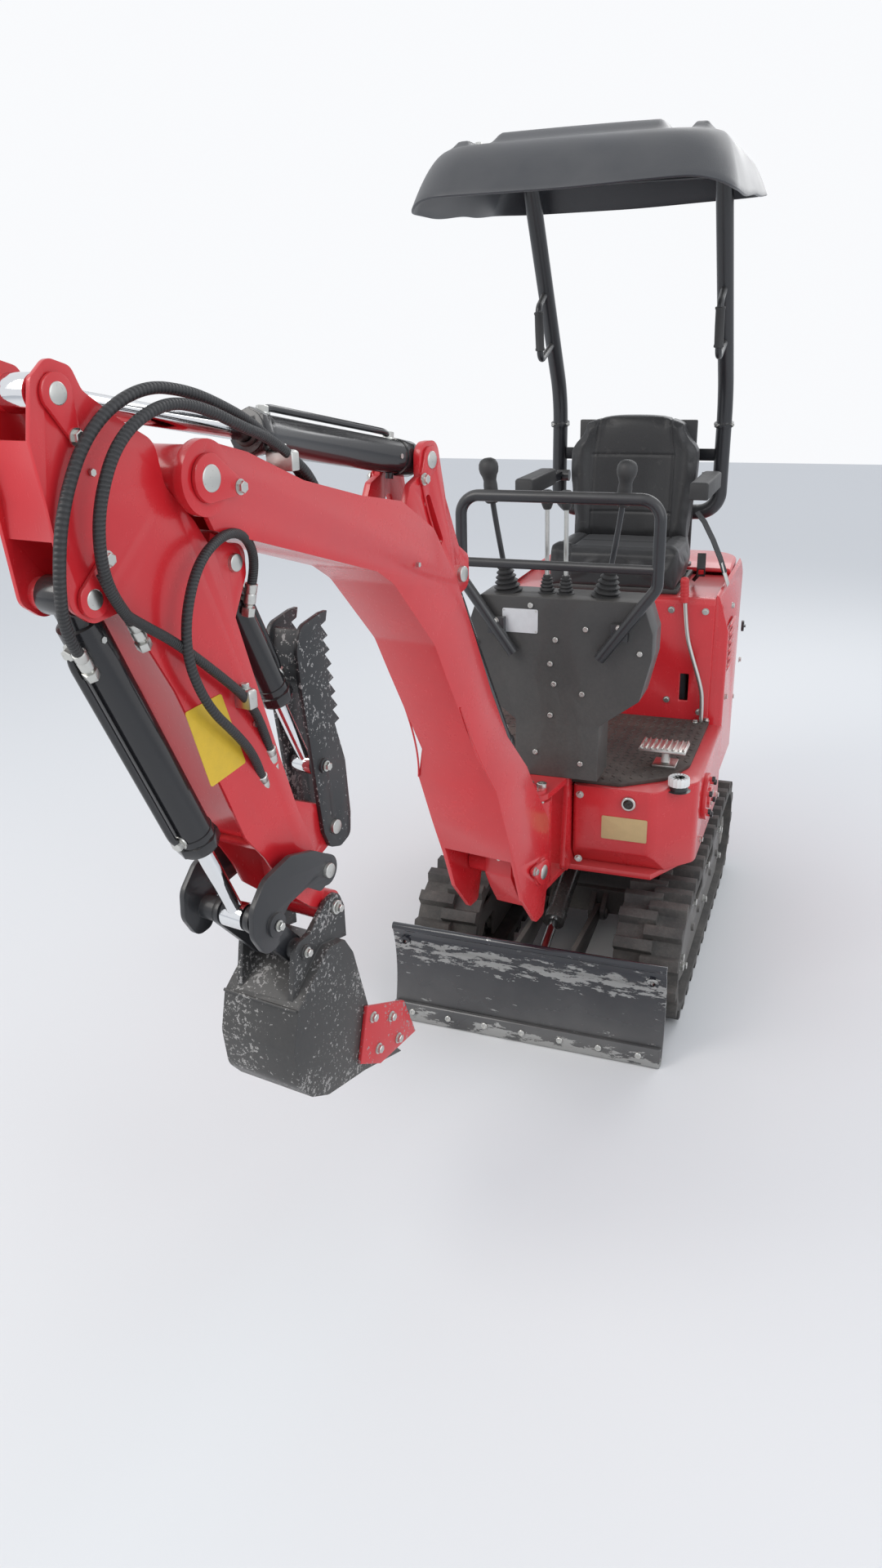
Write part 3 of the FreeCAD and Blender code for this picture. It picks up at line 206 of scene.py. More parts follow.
# Undercarriage frames: welded plate in satin black enamel, with dust from the paving low down.
# A frame is copied from its solid, its edges are rounded and its curved faces smoothed.
def enamel(name, colour, gloss, dust, peel=0.12, dust_top=0.45, wear=0.0, bare=(0.30, 0.29, 0.28)):
    """Sprayed machine paint: orange peel, cloudy gloss, scratches, and dust that thins upwards."""
    material, w = new_material(name)
    place = w.node("ShaderNodeTexCoord", output=3)
    height = w.node("ShaderNodeSeparateXYZ", {0: place}, output=2)
    lying = w.maths("MAXIMUM", w.node("ShaderNodeSeparateXYZ", {0: w.node("ShaderNodeTexCoord", output=1)}, output=2), 0.0)
    cloud = w.node("ShaderNodeTexNoise", {"Vector": place, "Scale": 9.0, "Detail": 6.0, "Roughness": 0.62})
    grit = w.node("ShaderNodeTexNoise", {"Vector": place, "Scale": 140.0, "Detail": 3.0, "Roughness": 0.7})
    skin = w.node("ShaderNodeTexNoise", {"Vector": place, "Scale": 420.0, "Detail": 2.0})
    drawn = w.node("ShaderNodeMapping", {"Vector": place, "Scale": (900.0, 90.0, 60.0)})
    scratch = w.node("ShaderNodeTexNoise", {"Vector": drawn, "Scale": 1.0, "Detail": 2.0}) > 0.70
    low = w.maths("MAXIMUM", 1.0 - height / dust_top, 0.0)
    dusty = w.maths("MINIMUM", (low * 0.55 + lying * 0.16) * (cloud * 0.9 + grit * 0.7) * dust, 0.8)
    shade = w.blend(cloud, [c * 0.86 for c in colour], [c * 1.1 for c in colour])
    if wear:
        shade = w.blend((grit + cloud * 0.6) > (1.02 - wear), shade, bare)
    shade = w.blend(dusty, shade, (0.30, 0.275, 0.24))
    rough = w.maths("MINIMUM", (cloud - 0.5) * 0.16 + (1.0 - gloss) + dusty * 0.5 + scratch * 0.07, 1.0)
    bump = w.node("ShaderNodeBump", {"Height": skin * peel + grit * dusty * 0.6, "Distance": 0.0006, "Strength": 0.35})
    surface = w.node("ShaderNodeBsdfPrincipled", {
        "Base Color": shade, "Roughness": rough, "Normal": bump, "Coat Weight": (1.0 - dusty) * 0.4 * gloss,
        "Coat Roughness": 0.1,
    })
    w.node("ShaderNodeOutputMaterial", {0: surface})
    return material


satin_black = enamel("satin_black", (0.018, 0.019, 0.022), 0.62, 1.0)


def alone(piece):
    """Only this piece is selected, and it is the active one."""
    bpy.ops.object.select_all(action="DESELECT")
    bpy.context.view_layer.objects.active = piece
    piece.select_set(True)


def carry(piece, name, finish, body, smooth=35.0):
    """Settles a piece's place into its mesh, gives it its finish and sets it on its body."""
    alone(piece)
    bpy.ops.object.transform_apply(location=True, rotation=True, scale=True)
    piece.name = name
    piece.data.materials.clear()
    piece.data.materials.append(finish)
    for face in piece.data.polygons:
        face.material_index = 0
    bpy.ops.object.shade_smooth_by_angle(angle=math.radians(smooth))
    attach(piece, body)
    piece.select_set(False)
    return piece


def round_edges(piece, width, segments=2, angle=34.0):
    """A live-looking edge: a bevel on the edges that are sharper than the angle."""
    alone(piece)
    bevel = piece.modifiers.new("rounding", "BEVEL")
    bevel.width = width
    bevel.segments = segments
    bevel.limit_method = "ANGLE"
    bevel.angle_limit = math.radians(angle)
    bpy.ops.object.modifier_apply(modifier="rounding")


def dressed(node, finish, rounding=0.0016, smooth=38.0):
    """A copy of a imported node, merged and with rounded edges, that stands for it."""
    piece = bpy.data.objects.new(node, cad[node].data.copy())
    bpy.context.scene.collection.objects.link(piece)
    alone(piece)
    bpy.ops.object.mode_set(mode="EDIT")
    bpy.ops.mesh.select_all(action="SELECT")
    bpy.ops.mesh.remove_doubles(threshold=0.00002)
    bpy.ops.mesh.dissolve_limited(angle_limit=math.radians(0.8))
    bpy.ops.object.mode_set(mode="OBJECT")
    if rounding:
        round_edges(piece, rounding)
    carry(piece, node + "_dressed", finish, cad[node]["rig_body"], smooth)
    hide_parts(node)
    return piece


for node in ("centre_frame", "track_frames"):
    dressed(node, satin_black)


# Bolts on the track frames and the hinge lugs: zinc-plated hexagon heads on washers.
# One bolt is turned up from a six-sided bar and copied to each place, square to its plate.
def metal(name, colour, rough, grain=0.08, tarnish=0.5, streaks=(40.0, 500.0, 500.0)):
    """Bare or plated steel: brushed grain, cloudy tarnish and a little grime in the hollows."""
    material, w = new_material(name)
    place = w.node("ShaderNodeTexCoord", output=3)
    brushed = w.node("ShaderNodeMapping", {"Vector": place, "Scale": streaks})
    grain_lines = w.node("ShaderNodeTexNoise", {"Vector": brushed, "Scale": 1.0, "Detail": 3.0})
    cloud = w.node("ShaderNodeTexNoise", {"Vector": place, "Scale": 22.0, "Detail": 6.0, "Roughness": 0.65})
    pits = w.node("ShaderNodeTexNoise", {"Vector": place, "Scale": 260.0, "Detail": 3.0})
    shade = w.blend(cloud * tarnish, colour, [c * 0.62 for c in colour])
    shade = w.blend((pits > 0.68) * 0.5 * tarnish, shade, (0.09, 0.07, 0.055))
    bump = w.node("ShaderNodeBump", {"Height": grain_lines * 0.5 + pits * 0.3, "Distance": 0.0004, "Strength": 0.25})
    surface = w.node("ShaderNodeBsdfPrincipled", {
        "Base Color": shade, "Roughness": (grain_lines - 0.5) * grain + rough + cloud * 0.1 * tarnish,
        "Metallic": 1.0, "Normal": bump,
    })
    w.node("ShaderNodeOutputMaterial", {0: surface})
    return material


zinc_plate = metal("zinc_plate", (0.66, 0.66, 0.63), 0.30)


def at(x, y, z):
    """A place on the machine, given in millimetres from the slewing axis and the ground."""
    return Vector((x + 3.5, y + 610.508, z)) / 1000.0


def pick(piece, test):
    """Goes into edit mode with the faces selected whose centre and normal pass the test."""
    alone(piece)
    bpy.ops.object.mode_set(mode="EDIT")
    bpy.ops.mesh.select_mode(type="FACE")
    bpy.ops.mesh.select_all(action="DESELECT")
    bpy.ops.object.mode_set(mode="OBJECT")
    for face in piece.data.polygons:
        face.select = test(face.center, face.normal)
    bpy.ops.object.mode_set(mode="EDIT")


def kept_mesh(piece):
    """The mesh of a piece that is only a pattern for copies."""
    alone(piece)
    bpy.ops.object.transform_apply(location=True, rotation=True, scale=True)
    mesh = piece.data
    bpy.data.objects.remove(piece)
    return mesh


def hex_bolt(across, height):
    """A washer with a hexagon head on it, its top edge chamfered. It stands on the origin."""
    bpy.ops.object.select_all(action="DESELECT")
    bpy.ops.mesh.primitive_cylinder_add(vertices=24, radius=across * 0.75, depth=height * 0.22,
                                        location=(0, 0, height * 0.11))
    washer = bpy.context.object
    bpy.ops.mesh.primitive_cylinder_add(vertices=6, radius=across * 0.577, depth=height * 0.72,
                                        location=(0, 0, height * 0.54))
    head = bpy.context.object
    pick(head, lambda centre, normal: normal.z > 0.9)
    bpy.ops.mesh.extrude_region_move(TRANSFORM_OT_translate={"value": (0, 0, height * 0.1)})
    bpy.ops.transform.resize(value=(0.86, 0.86, 1.0))
    bpy.ops.object.mode_set(mode="OBJECT")
    washer.select_set(True)
    bpy.ops.object.join()
    return kept_mesh(head)


def socket_screw(radius, height):
    """A cap screw: a round head with a hexagon socket sunk in its top."""
    bpy.ops.object.select_all(action="DESELECT")
    bpy.ops.mesh.primitive_cylinder_add(vertices=24, radius=radius, depth=height, location=(0, 0, height / 2))
    head = bpy.context.object
    pick(head, lambda centre, normal: normal.z > 0.9)
    bpy.ops.mesh.inset(thickness=radius * 0.12)
    bpy.ops.transform.translate(value=(0, 0, radius * 0.1))
    bpy.ops.mesh.inset(thickness=radius * 0.38)
    bpy.ops.mesh.extrude_region_move(TRANSFORM_OT_translate={"value": (0, 0, -height * 0.5)})
    bpy.ops.object.mode_set(mode="OBJECT")
    return kept_mesh(head)


def fasten(pattern, name, spots, finish, body):
    """Copies of one fastener at (point, direction) places, joined as one piece."""
    bpy.ops.object.select_all(action="DESELECT")
    for point, direction in spots:
        copy = bpy.data.objects.new(name, pattern.copy())
        turn = Vector(direction).to_track_quat("Z", "Y").to_matrix().to_4x4()
        copy.data.transform(Matrix.Translation(point) @ turn)
        bpy.context.scene.collection.objects.link(copy)
        copy.select_set(True)
        bpy.context.view_layer.objects.active = copy
    if len(spots) > 1:
        bpy.ops.object.join()
    return carry(bpy.context.view_layer.objects.active, name, finish, body, 25.0)


frame_bolt = hex_bolt(0.017, 0.012)
spots = []
for side in (1, -1):
    for y, z in ((-440, 175), (-440, 145), (-372, 110), (-250, 240), (0, 120), (0, 235), (250, 240), (310, 120), (310, 210)):
        spots.append((at(side * 338, y, z), (side, 0, 0)))
fasten(frame_bolt, "frame_bolts", spots, zinc_plate, "undercarriage")


# Wheels in the tracks: cast idlers, toothed sprockets on their motors and twin-rimmed rollers,
# in the frames' black, rubbed to steel on the rims that the belt runs on.
wheel_steel = enamel("wheel_steel", (0.035, 0.034, 0.034), 0.45, 1.6, wear=0.16)
for node in ("idlers", "sprockets", "rollers"):
    dressed(node, wheel_steel, 0.002)
spots = []
for side in (1, -1):
    for i in range(9):
        t = 2 * math.pi * i / 9
        spots.append((at(side * 318, 405 + 52 * math.cos(t), 165 + 52 * math.sin(t)), (side, 0, 0)))
fasten(hex_bolt(0.011, 0.009), "motor_bolts", spots, zinc_plate, "undercarriage")

# Tracks: endless rubber belts with lugs that alternate left and right, moulded in one piece.
# The rubber is scuffed grey on the lugs' tops and holds pale dust in its roots.
belt_rubber, w = new_material("belt_rubber")
place = w.node("ShaderNodeTexCoord", output=3)
cloud = w.node("ShaderNodeTexNoise", {"Vector": place, "Scale": 14.0, "Detail": 7.0, "Roughness": 0.7})
grit = w.node("ShaderNodeTexNoise", {"Vector": place, "Scale": 190.0, "Detail": 4.0, "Roughness": 0.75})
crumbs = w.node("ShaderNodeTexVoronoi", {"Vector": place, "Scale": 310.0})
dust = w.maths("MINIMUM", (cloud ** 2.0) * (grit + 0.35) * 1.5, 0.75)
shade = w.blend(dust, (0.022, 0.022, 0.023), (0.17, 0.155, 0.135))
bump = w.node("ShaderNodeBump", {"Height": grit * 0.8 + crumbs * 0.3, "Distance": 0.0012, "Strength": 0.5})
surface = w.node("ShaderNodeBsdfPrincipled", {"Base Color": shade, "Roughness": cloud * 0.18 + 0.62, "Normal": bump})
w.node("ShaderNodeOutputMaterial", {0: surface})
for node in ("left_track", "right_track"):
    dressed(node, belt_rubber, 0.0022, 30.0)
# Inside each belt two rows of steel-cored horns keep the rollers on their path.
bpy.ops.object.select_all(action="DESELECT")
bpy.ops.mesh.primitive_cube_add(size=1.0, location=(0, 0, 0.006))
horn = bpy.context.object
horn.scale = (0.018, 0.026, 0.012)
bpy.ops.object.transform_apply(location=True, rotation=True, scale=True)
pick(horn, lambda centre, normal: normal.z > 0.9)
bpy.ops.transform.resize(value=(0.55, 0.6, 1.0))
bpy.ops.object.mode_set(mode="OBJECT")
round_edges(horn, 0.002)
horn = kept_mesh(horn)
for name, side in (("left_horns", 1), ("right_horns", -1)):
    spots = []
    for i in range(19):
        for z, up in ((45.0, 1), (285.0, -1)):
            for x in (258, 278):
                spots.append((at(side * x, -400 + i * 43.5, z), (0, 0, up)))
    fasten(horn, name, spots, belt_rubber, "undercarriage")

# Dozer blade: a rolled plate in gloss black, rubbed to bare steel below its top edge, with a
# welded wear strip along its foot and ribs behind it. Its arms are satin black plate.
blade_paint, w = new_material("blade_paint")
place = w.node("ShaderNodeTexCoord", output=3)
height = w.node("ShaderNodeSeparateXYZ", {0: place}, output=2)
rubbed = w.node("ShaderNodeMapping", {"Vector": place, "Scale": (16.0, 20.0, 60.0)})
streak = w.node("ShaderNodeTexNoise", {"Vector": rubbed, "Scale": 1.0, "Detail": 8.0, "Roughness": 0.72})
cloud = w.node("ShaderNodeTexNoise", {"Vector": place, "Scale": 7.0, "Detail": 5.0})
fine = w.node("ShaderNodeTexNoise", {"Vector": place, "Scale": 300.0, "Detail": 2.0})
band = w.maths("MAXIMUM", 1.0 - abs(height - 0.205) / 0.06, 0.0)
foot = w.maths("MAXIMUM", 1.0 - height / 0.05, 0.0)
bare = (streak + band * 0.17 + foot * 0.22 + fine * 0.05) > 0.655
dust = w.maths("MINIMUM", w.maths("MAXIMUM", 0.24 - height, 0.0) * 2.6 * cloud, 0.5)
shade = w.blend(bare, w.blend(cloud, (0.010, 0.011, 0.014), (0.016, 0.018, 0.026)), (0.42, 0.42, 0.41))
shade = w.blend(dust, shade, (0.24, 0.23, 0.21))
bump = w.node("ShaderNodeBump", {"Height": (1.0 - bare) * 0.5 + fine * 0.2 + streak * 0.3, "Distance": 0.0007,
                                 "Strength": 0.5})
surface = w.node("ShaderNodeBsdfPrincipled", {
    "Base Color": shade, "Metallic": bare * (1.0 - dust), "Roughness": bare * 0.16 + dust * 0.4 + 0.2, "Normal": bump,
    "Coat Weight": (1.0 - bare) * (1.0 - dust) * 0.5, "Coat Roughness": 0.12,
})
w.node("ShaderNodeOutputMaterial", {0: surface})
dressed("blade_plate", blade_paint, 0.0012)
dressed("blade_arms", satin_black)
bpy.ops.object.select_all(action="DESELECT")
bpy.ops.mesh.primitive_cube_add(size=1.0, location=at(-15, -686, 26))
strip = bpy.context.object
strip.scale = (0.706, 0.012, 0.05)
strip.rotation_euler = (math.radians(-9), 0, 0)
bpy.ops.object.transform_apply(location=False, rotation=False, scale=True)
pick(strip, lambda centre, normal: normal.y < -0.9)
bpy.ops.mesh.inset(thickness=0.004)
bpy.ops.transform.translate(value=(0, -0.003, 0))
bpy.ops.object.mode_set(mode="OBJECT")
round_edges(strip, 0.001)
carry(strip, "wear_strip", blade_paint, "dozer_blade")
spots = [(at(-15 + x, -694, 30), (0, -1, 0.15)) for x in (-300, -200, -100, 0, 100, 200, 300)]
fasten(socket_screw(0.008, 0.005), "wear_strip_bolts", spots, zinc_plate, "dozer_blade")

# Swing post: a steel casting in machine red. It turns on the swing pin and carries the boom's
# foot pin and the boom cylinder's ear. Its raised rims are rubbed bright by the hoses.
machine_red = enamel("machine_red", (0.62, 0.020, 0.028), 0.74, 0.8, dust_top=0.5)
dressed("swing_post", machine_red, 0.003)


def swung(x, y, z):
    """A place in the boom's own plane, in millimetres: across, out from the swing pin and up."""
    return Vector((-14.5 + 0.98902 * x + 0.14781 * y, 30.508 - 0.14781 * x + 0.98902 * y, z)) / 1000.0


across = Vector((0.98902, -0.14781, 0.0))
outwards = Vector((-0.14781, -0.98902, 0.0))


def grease_nipple():
    """A small hexagon with a waisted ball tip."""
    bpy.ops.object.select_all(action="DESELECT")
    bpy.ops.mesh.primitive_cylinder_add(vertices=6, radius=0.0045, depth=0.004, location=(0, 0, 0.002))
    nipple = bpy.context.object
    for rise, width in ((0.002, 0.55), (0.002, 0.8), (0.002, 1.25), (0.0015, 0.6)):
        pick(nipple, lambda centre, normal: normal.z > 0.9 and centre.z > 0.0039)
        bpy.ops.mesh.extrude_region_move(TRANSFORM_OT_translate={"value": (0, 0, rise)})
        bpy.ops.transform.resize(value=(width, width, 1.0))
        bpy.ops.object.mode_set(mode="OBJECT")
        for face in nipple.data.polygons:
            if face.normal.z > 0.9 and face.center.z < max(f.center.z for f in nipple.data.polygons) - 1e-5:
                face.select = False
    return kept_mesh(nipple)


nipple = grease_nipple()
fasten(nipple, "post_nipples", [(swung(0, -198, 560), outwards), (swung(0, -135, 690), outwards),
                                (swung(30, -20, 638), (0, 0, 1))], zinc_plate, "swing_post_body")
fasten(socket_screw(0.012, 0.010), "swing_pin_screws",
       [(at(-18 + 18 * math.cos(t), -580 + 18 * math.sin(t), 664), (0, 0, 1)) for t in (0.6, 2.7, 4.8)],
       zinc_plate, "upper_structure")

# Boom: a box of red plates bent at the knee and flared to its foot. Weld beads run where the
# ears and the flanges meet the box.
dressed("boom", machine_red, 0.0022)


def line_piece(name, points, radius, finish, body, resolution=3, order=3):
    """A round bar, tube or bead along a smooth line that its points pull into shape."""
    curve = bpy.data.curves.new(name, "CURVE")
    curve.dimensions = "3D"
    curve.bevel_depth = radius
    curve.bevel_resolution = resolution
    curve.resolution_u = 8
    curve.use_fill_caps = True
    run = curve.splines.new("NURBS")
    run.points.add(len(points) - 1)
    for knot, point in zip(run.points, points):
        knot.co = (*point, 1.0)
    run.order_u = min(order, len(points))
    run.use_endpoint_u = True
    piece = bpy.data.objects.new(name, curve)
    bpy.context.scene.collection.objects.link(piece)
    alone(piece)
    bpy.ops.object.convert(target="MESH")
    return carry(bpy.context.object, name, finish, body, 50.0)


for number, (x, start, end) in enumerate((
    (47.5, (-590, 1478), (-505, 1422)), (-47.5, (-590, 1478), (-505, 1422)),
)):
    points = [swung(x, start[0], start[1] - 2), swung(x, -570, 1402), swung(x, -520, 1330), swung(x, -480, 1262)]
    line_piece("ear_bead_%d" % number, points, 0.0022, machine_red, "boom_body")
for number, side in enumerate((1, -1)):
    points = [swung(side * 65, -495, 1028), swung(side * 66, -430, 905), swung(side * 91, -398, 824)]
    line_piece("foot_bead_%d" % number, points, 0.002, machine_red, "boom_body")
fasten(nipple, "boom_nipples", [(swung(0, -1000, 1527), (0, 0, 1)), (swung(66, -640, 1330), across)], zinc_plate,
       "boom_body")

# Pins: plated steel bars through their bosses. A teardrop keeper plate on each boom pin's end is
# held by one bolt, so the pin can't turn or walk out.
dressed("boom_pins", zinc_plate, 0.0015)
dressed("arm_pins", zinc_plate, 0.0012)
keeper_bolt = hex_bolt(0.014, 0.009)


def keeper(name, pin, tail, radius, x, body, finish, thickness=0.006):
    """A teardrop plate about a pin's end: a disc drawn out to a smaller end at its bolt."""
    centre, end = swung(x, *pin), swung(x, *tail)
    facing = across * (1 if x > 0 else -1)
    bpy.ops.object.select_all(action="DESELECT")
    bpy.ops.mesh.primitive_cylinder_add(vertices=40, radius=radius, depth=thickness)
    plate = bpy.context.object
    length = (end - centre).length
    bpy.ops.object.mode_set(mode="EDIT")
    bpy.ops.mesh.select_mode(type="VERT")
    bpy.ops.mesh.select_all(action="DESELECT")
    bpy.ops.object.mode_set(mode="OBJECT")
    for corner in plate.data.vertices:
        if corner.co.x > radius * 0.25:
            reach = (corner.co.x / radius - 0.25) / 0.75
            corner.co.x += reach * (length + radius * 0.45 - radius)
            corner.co.y *= 1.0 - 0.45 * reach ** 0.7
    round_edges(plate, 0.001, 2, 50.0)
    along_x = (end - centre).normalized()
    up = facing.cross(along_x)
    turn = Matrix((along_x, up, facing)).transposed().to_4x4()
    plate.data.transform(Matrix.Translation(centre) @ turn)
    carry(plate, name, finish, body)
    fasten(keeper_bolt, name + "_bolt", [(end + facing * thickness * 0.4, facing)], zinc_plate, body)


for side, word in ((1, "left"), (-1, "right")):
    keeper("tip_keeper_" + word, (-1162, 1535), (-1108, 1518), 0.031, side * 74, "boom_body", machine_red)
    keeper("foot_keeper_" + word, (-170, 535), (-222, 560), 0.030, side * 99, "boom_body", machine_red)
    keeper("arm_top_keeper_" + word, (-1367, 1647), (-1350, 1600), 0.022, side * 48, "arm_body", machine_red)
    keeper("bucket_cylinder_keeper_" + word, (-1357, 1420), (-1330, 1462), 0.022, side * 48, "arm_body", machine_red)
    keeper("ear_keeper_" + word, (-557, 1494), (-585, 1465), 0.023, side * 49, "boom_body", machine_red)

# Hydraulic cylinders: honed tubes in gloss black with a screwed gland, a ground chrome rod and
# a steel oil pipe that runs along the tube to its far port.
cylinder_black = enamel("cylinder_black", (0.014, 0.014, 0.016), 0.8, 0.5, peel=0.06)
rod_chrome = metal("rod_chrome", (0.80, 0.81, 0.82), 0.07, 0.03, 0.18, (500.0, 500.0, 30.0))
cylinders = (
    ("boom", (-447, 1276), (-99, 690), 28, 520, 14, "boom_cylinder", (0, -1)),
    ("arm", (-557, 1494), (-1367, 1647), 28, 440, 14, "arm_cylinder", (0, 1)),
    ("bucket", (-1357, 1420), (-1112, 869), 28, 440, 13, "bucket_cylinder", (0, 1)),
    ("thumb", (-1086, 1413), (-908, 1051), 22, 262, 10, "thumb_cylinder", (0, -1)),
)
gland_nut = hex_bolt(0.016, 0.012)
for word, base, eye, tube_r, tube_len, rod_r, body, lean in cylinders:
    dressed(word + "_cylinder_barrel", cylinder_black, 0.0012)
    dressed(word + "_cylinder_rod", rod_chrome, 0.0006)
    a, b = swung(0, *base), swung(0, *eye)
    line = (b - a).normalized()
    out = line.cross(across).normalized() * lean[1]
    r = tube_r / 1000.0
    # A wiper ring and two flats' worth of hexagon stand at the gland.
    bpy.ops.object.select_all(action="DESELECT")
    bpy.ops.mesh.primitive_cylinder_add(vertices=8, radius=r + 0.0065, depth=0.016)
    ring = bpy.context.object
    round_edges(ring, 0.0012)
    pick(ring, lambda centre, normal: abs(normal.z) > 0.9)
    bpy.ops.mesh.inset(thickness=r * 0.3)
    bpy.ops.object.mode_set(mode="OBJECT")
    turn = line.to_track_quat("Z", "Y").to_matrix().to_4x4()
    ring.data.transform(Matrix.Translation(a + line * (tube_len - 12) / 1000.0) @ turn)
    carry(ring, word + "_gland_ring", cylinder_black, body)
    bpy.ops.mesh.primitive_torus_add(major_radius=rod_r / 1000 + 0.0035, minor_radius=0.0035, major_segments=40,
                                     minor_segments=10)
    wiper = bpy.context.object
    wiper.data.transform(Matrix.Translation(a + line * (tube_len + 1.5) / 1000.0) @ turn)
    carry(wiper, word + "_wiper", belt_rubber, body, 60.0)
    # The oil pipe leaves a banjo near the pin, follows the tube and turns in at the gland.
    near, far = a + line * 0.062, a + line * (tube_len - 34) / 1000.0
    lift = r + 0.0095
    points = [near + out * (r - 0.004), near + out * lift, near + out * lift + line * 0.05,
              far + out * lift - line * 0.05, far + out * lift, far + out * (r - 0.004)]
    line_piece(word + "_oil_pipe", points, 0.0055, cylinder_black, body, 4)
    spots = [(near + out * (r - 0.001) , out), (far + out * (r - 0.001), out)]
    fasten(gland_nut, word + "_pipe_unions", spots, zinc_plate, body)
    spots = [(a + line * 0.062 + across * (r - 0.002), across)]
    fasten(nipple, word + "_cylinder_nipple", spots, zinc_plate, body)

# The blade's cylinder is the same kind, low between the tracks.
dressed("blade_cylinder_barrel", cylinder_black, 0.0012)
dressed("blade_cylinder_rod", rod_chrome, 0.0006)

# Arm: two red side plates proud of a recessed front plate. A blank yellow plate stands where the
# makers put the lifting table.
dressed("arm", machine_red, 0.0022)


def plain_label(name, colour, rough, metallic=0.0):
    """A printed foil with nothing on it: faint mottle, fine scratches and a satin face."""
    material, w = new_material(name)
    place = w.node("ShaderNodeTexCoord", output=3)
    mottle = w.node("ShaderNodeTexNoise", {"Vector": place, "Scale": 60.0, "Detail": 5.0})
    fine = w.node("ShaderNodeTexNoise", {"Vector": place, "Scale": 700.0, "Detail": 2.0})
    shade = w.blend(mottle, [c * 0.88 for c in colour], [min(1.0, c * 1.08) for c in colour])
    shade = w.blend((fine > 0.66) * 0.35, shade, [c * 0.6 for c in colour])
    bump = w.node("ShaderNodeBump", {"Height": fine * 0.3 + mottle * 0.4, "Distance": 0.0003, "Strength": 0.2})
    surface = w.node("ShaderNodeBsdfPrincipled", {"Base Color": shade, "Roughness": mottle * 0.15 + rough,
                                                  "Metallic": metallic, "Normal": bump})
    w.node("ShaderNodeOutputMaterial", {0: surface})
    return material


def foil(name, corners, finish, body, thickness=0.0008):
    """A thin sheet with four corners, rounded at each and a little pillowed, with a raised rim."""
    bpy.ops.object.select_all(action="DESELECT")
    bpy.ops.mesh.primitive_plane_add(size=1.0)
    sheet = bpy.context.object
    order = (0, 1, 3, 2)
    for index, corner in zip(order, corners):
        sheet.data.vertices[index].co = corner
    bpy.ops.object.mode_set(mode="EDIT")
    bpy.ops.mesh.select_all(action="SELECT")
    bpy.ops.mesh.bevel(offset=0.004, segments=4, affect="VERTICES")
    bpy.ops.mesh.inset(thickness=0.0015, depth=0.0002)
    bpy.ops.mesh.select_all(action="SELECT")
    bpy.ops.object.mode_set(mode="OBJECT")
    solid = sheet.modifiers.new("thickness", "SOLIDIFY")
    solid.thickness = thickness
    solid.offset = 0.0
    alone(sheet)
    bpy.ops.object.modifier_apply(modifier="thickness")
    return carry(sheet, name, finish, body, 20.0)


yellow_foil = plain_label("yellow_foil", (0.72, 0.47, 0.03), 0.42)
skin_out = across * 0.0446
foil("arm_plate_blank", [swung(0, *p) + skin_out for p in ((-1190, 1120), (-1112, 1130), (-1150, 1245), (-1225, 1240))],
     yellow_foil, "arm_body")
fasten(nipple, "arm_nipples", [(swung(0, -960, 925), -outwards), (swung(45, -1330, 1560), across),
                               (swung(45, -1085, 1180), across)], zinc_plate, "arm_body")

# Bucket linkage: black rocker crescents and a link, with a pin and keeper bolt at each joint.
dressed("rocker_plates", satin_black, 0.002)
dressed("bucket_link", satin_black, 0.002)
pin_bolt = hex_bolt(0.012, 0.008)
spots = []
for x in (78, -78):
    spots.append((swung(x, -1112, 869), across * (1 if x > 0 else -1)))
fasten(pin_bolt, "rocker_pin_bolts", spots, zinc_plate, "rocker")
spots = []
for x in (62.5, -62.5):
    for y, z in ((-934, 809), (-1028, 773)):
        spots.append((swung(x, y, z), across * (1 if x > 0 else -1)))
fasten(pin_bolt, "bucket_pin_bolts", spots, zinc_plate, "bucket_body")

# Bucket: bent steel in satin black, scoured by soil, with a red cutter bolted to each cheek.
dug_steel = enamel("dug_steel", (0.017, 0.018, 0.020), 0.5, 0.7, dust_top=0.9, wear=0.10)
dressed("bucket", dug_steel, 0.0018)
cutter_red = enamel("cutter_red", (0.60, 0.020, 0.028), 0.6, 0.6, wear=0.08)
dressed("side_cutters", cutter_red, 0.0015)
spots = []
for x in (83, -83):
    for y, z in ((-880, 565), (-820, 530), (-868, 490), (-800, 470)):
        spots.append((swung(x, y, z), across * (1 if x > 0 else -1)))
fasten(hex_bolt(0.014, 0.009), "cutter_bolts", spots, zinc_plate, "bucket_body")
points = [swung(-73, -1083, 695), swung(0, -1084, 695), swung(73, -1083, 695)]
line_piece("bucket_top_bead", points, 0.003, dug_steel, "bucket_body")
# A lip plate stiffens the digging edge, with its four short teeth drawn to a wedge.
bpy.ops.object.select_all(action="DESELECT")
bpy.ops.mesh.primitive_cube_add(size=1.0)
tooth = bpy.context.object
tooth.scale = (0.020, 0.046, 0.012)
bpy.ops.object.transform_apply(location=True, rotation=True, scale=True)
pick(tooth, lambda centre, normal: normal.y > 0.9)
bpy.ops.transform.resize(value=(0.8, 1.0, 0.22))
bpy.ops.object.mode_set(mode="OBJECT")
round_edges(tooth, 0.0012)
tooth = kept_mesh(tooth)
toward = (swung(0, -776, 422) - swung(0, -901, 461)).normalized()
frame_of_lip = Matrix((across, toward, across.cross(toward))).transposed().to_4x4()
teeth = []
for x in (-58, -20, 20, 58):
    copy = bpy.data.objects.new("tooth", tooth.copy())
    copy.data.transform(Matrix.Translation(swung(x, -800, 434)) @ frame_of_lip)
    bpy.context.scene.collection.objects.link(copy)
    teeth.append(copy)
bpy.ops.object.select_all(action="DESELECT")
for copy in teeth:
    copy.select_set(True)
bpy.context.view_layer.objects.active = teeth[0]
bpy.ops.object.join()
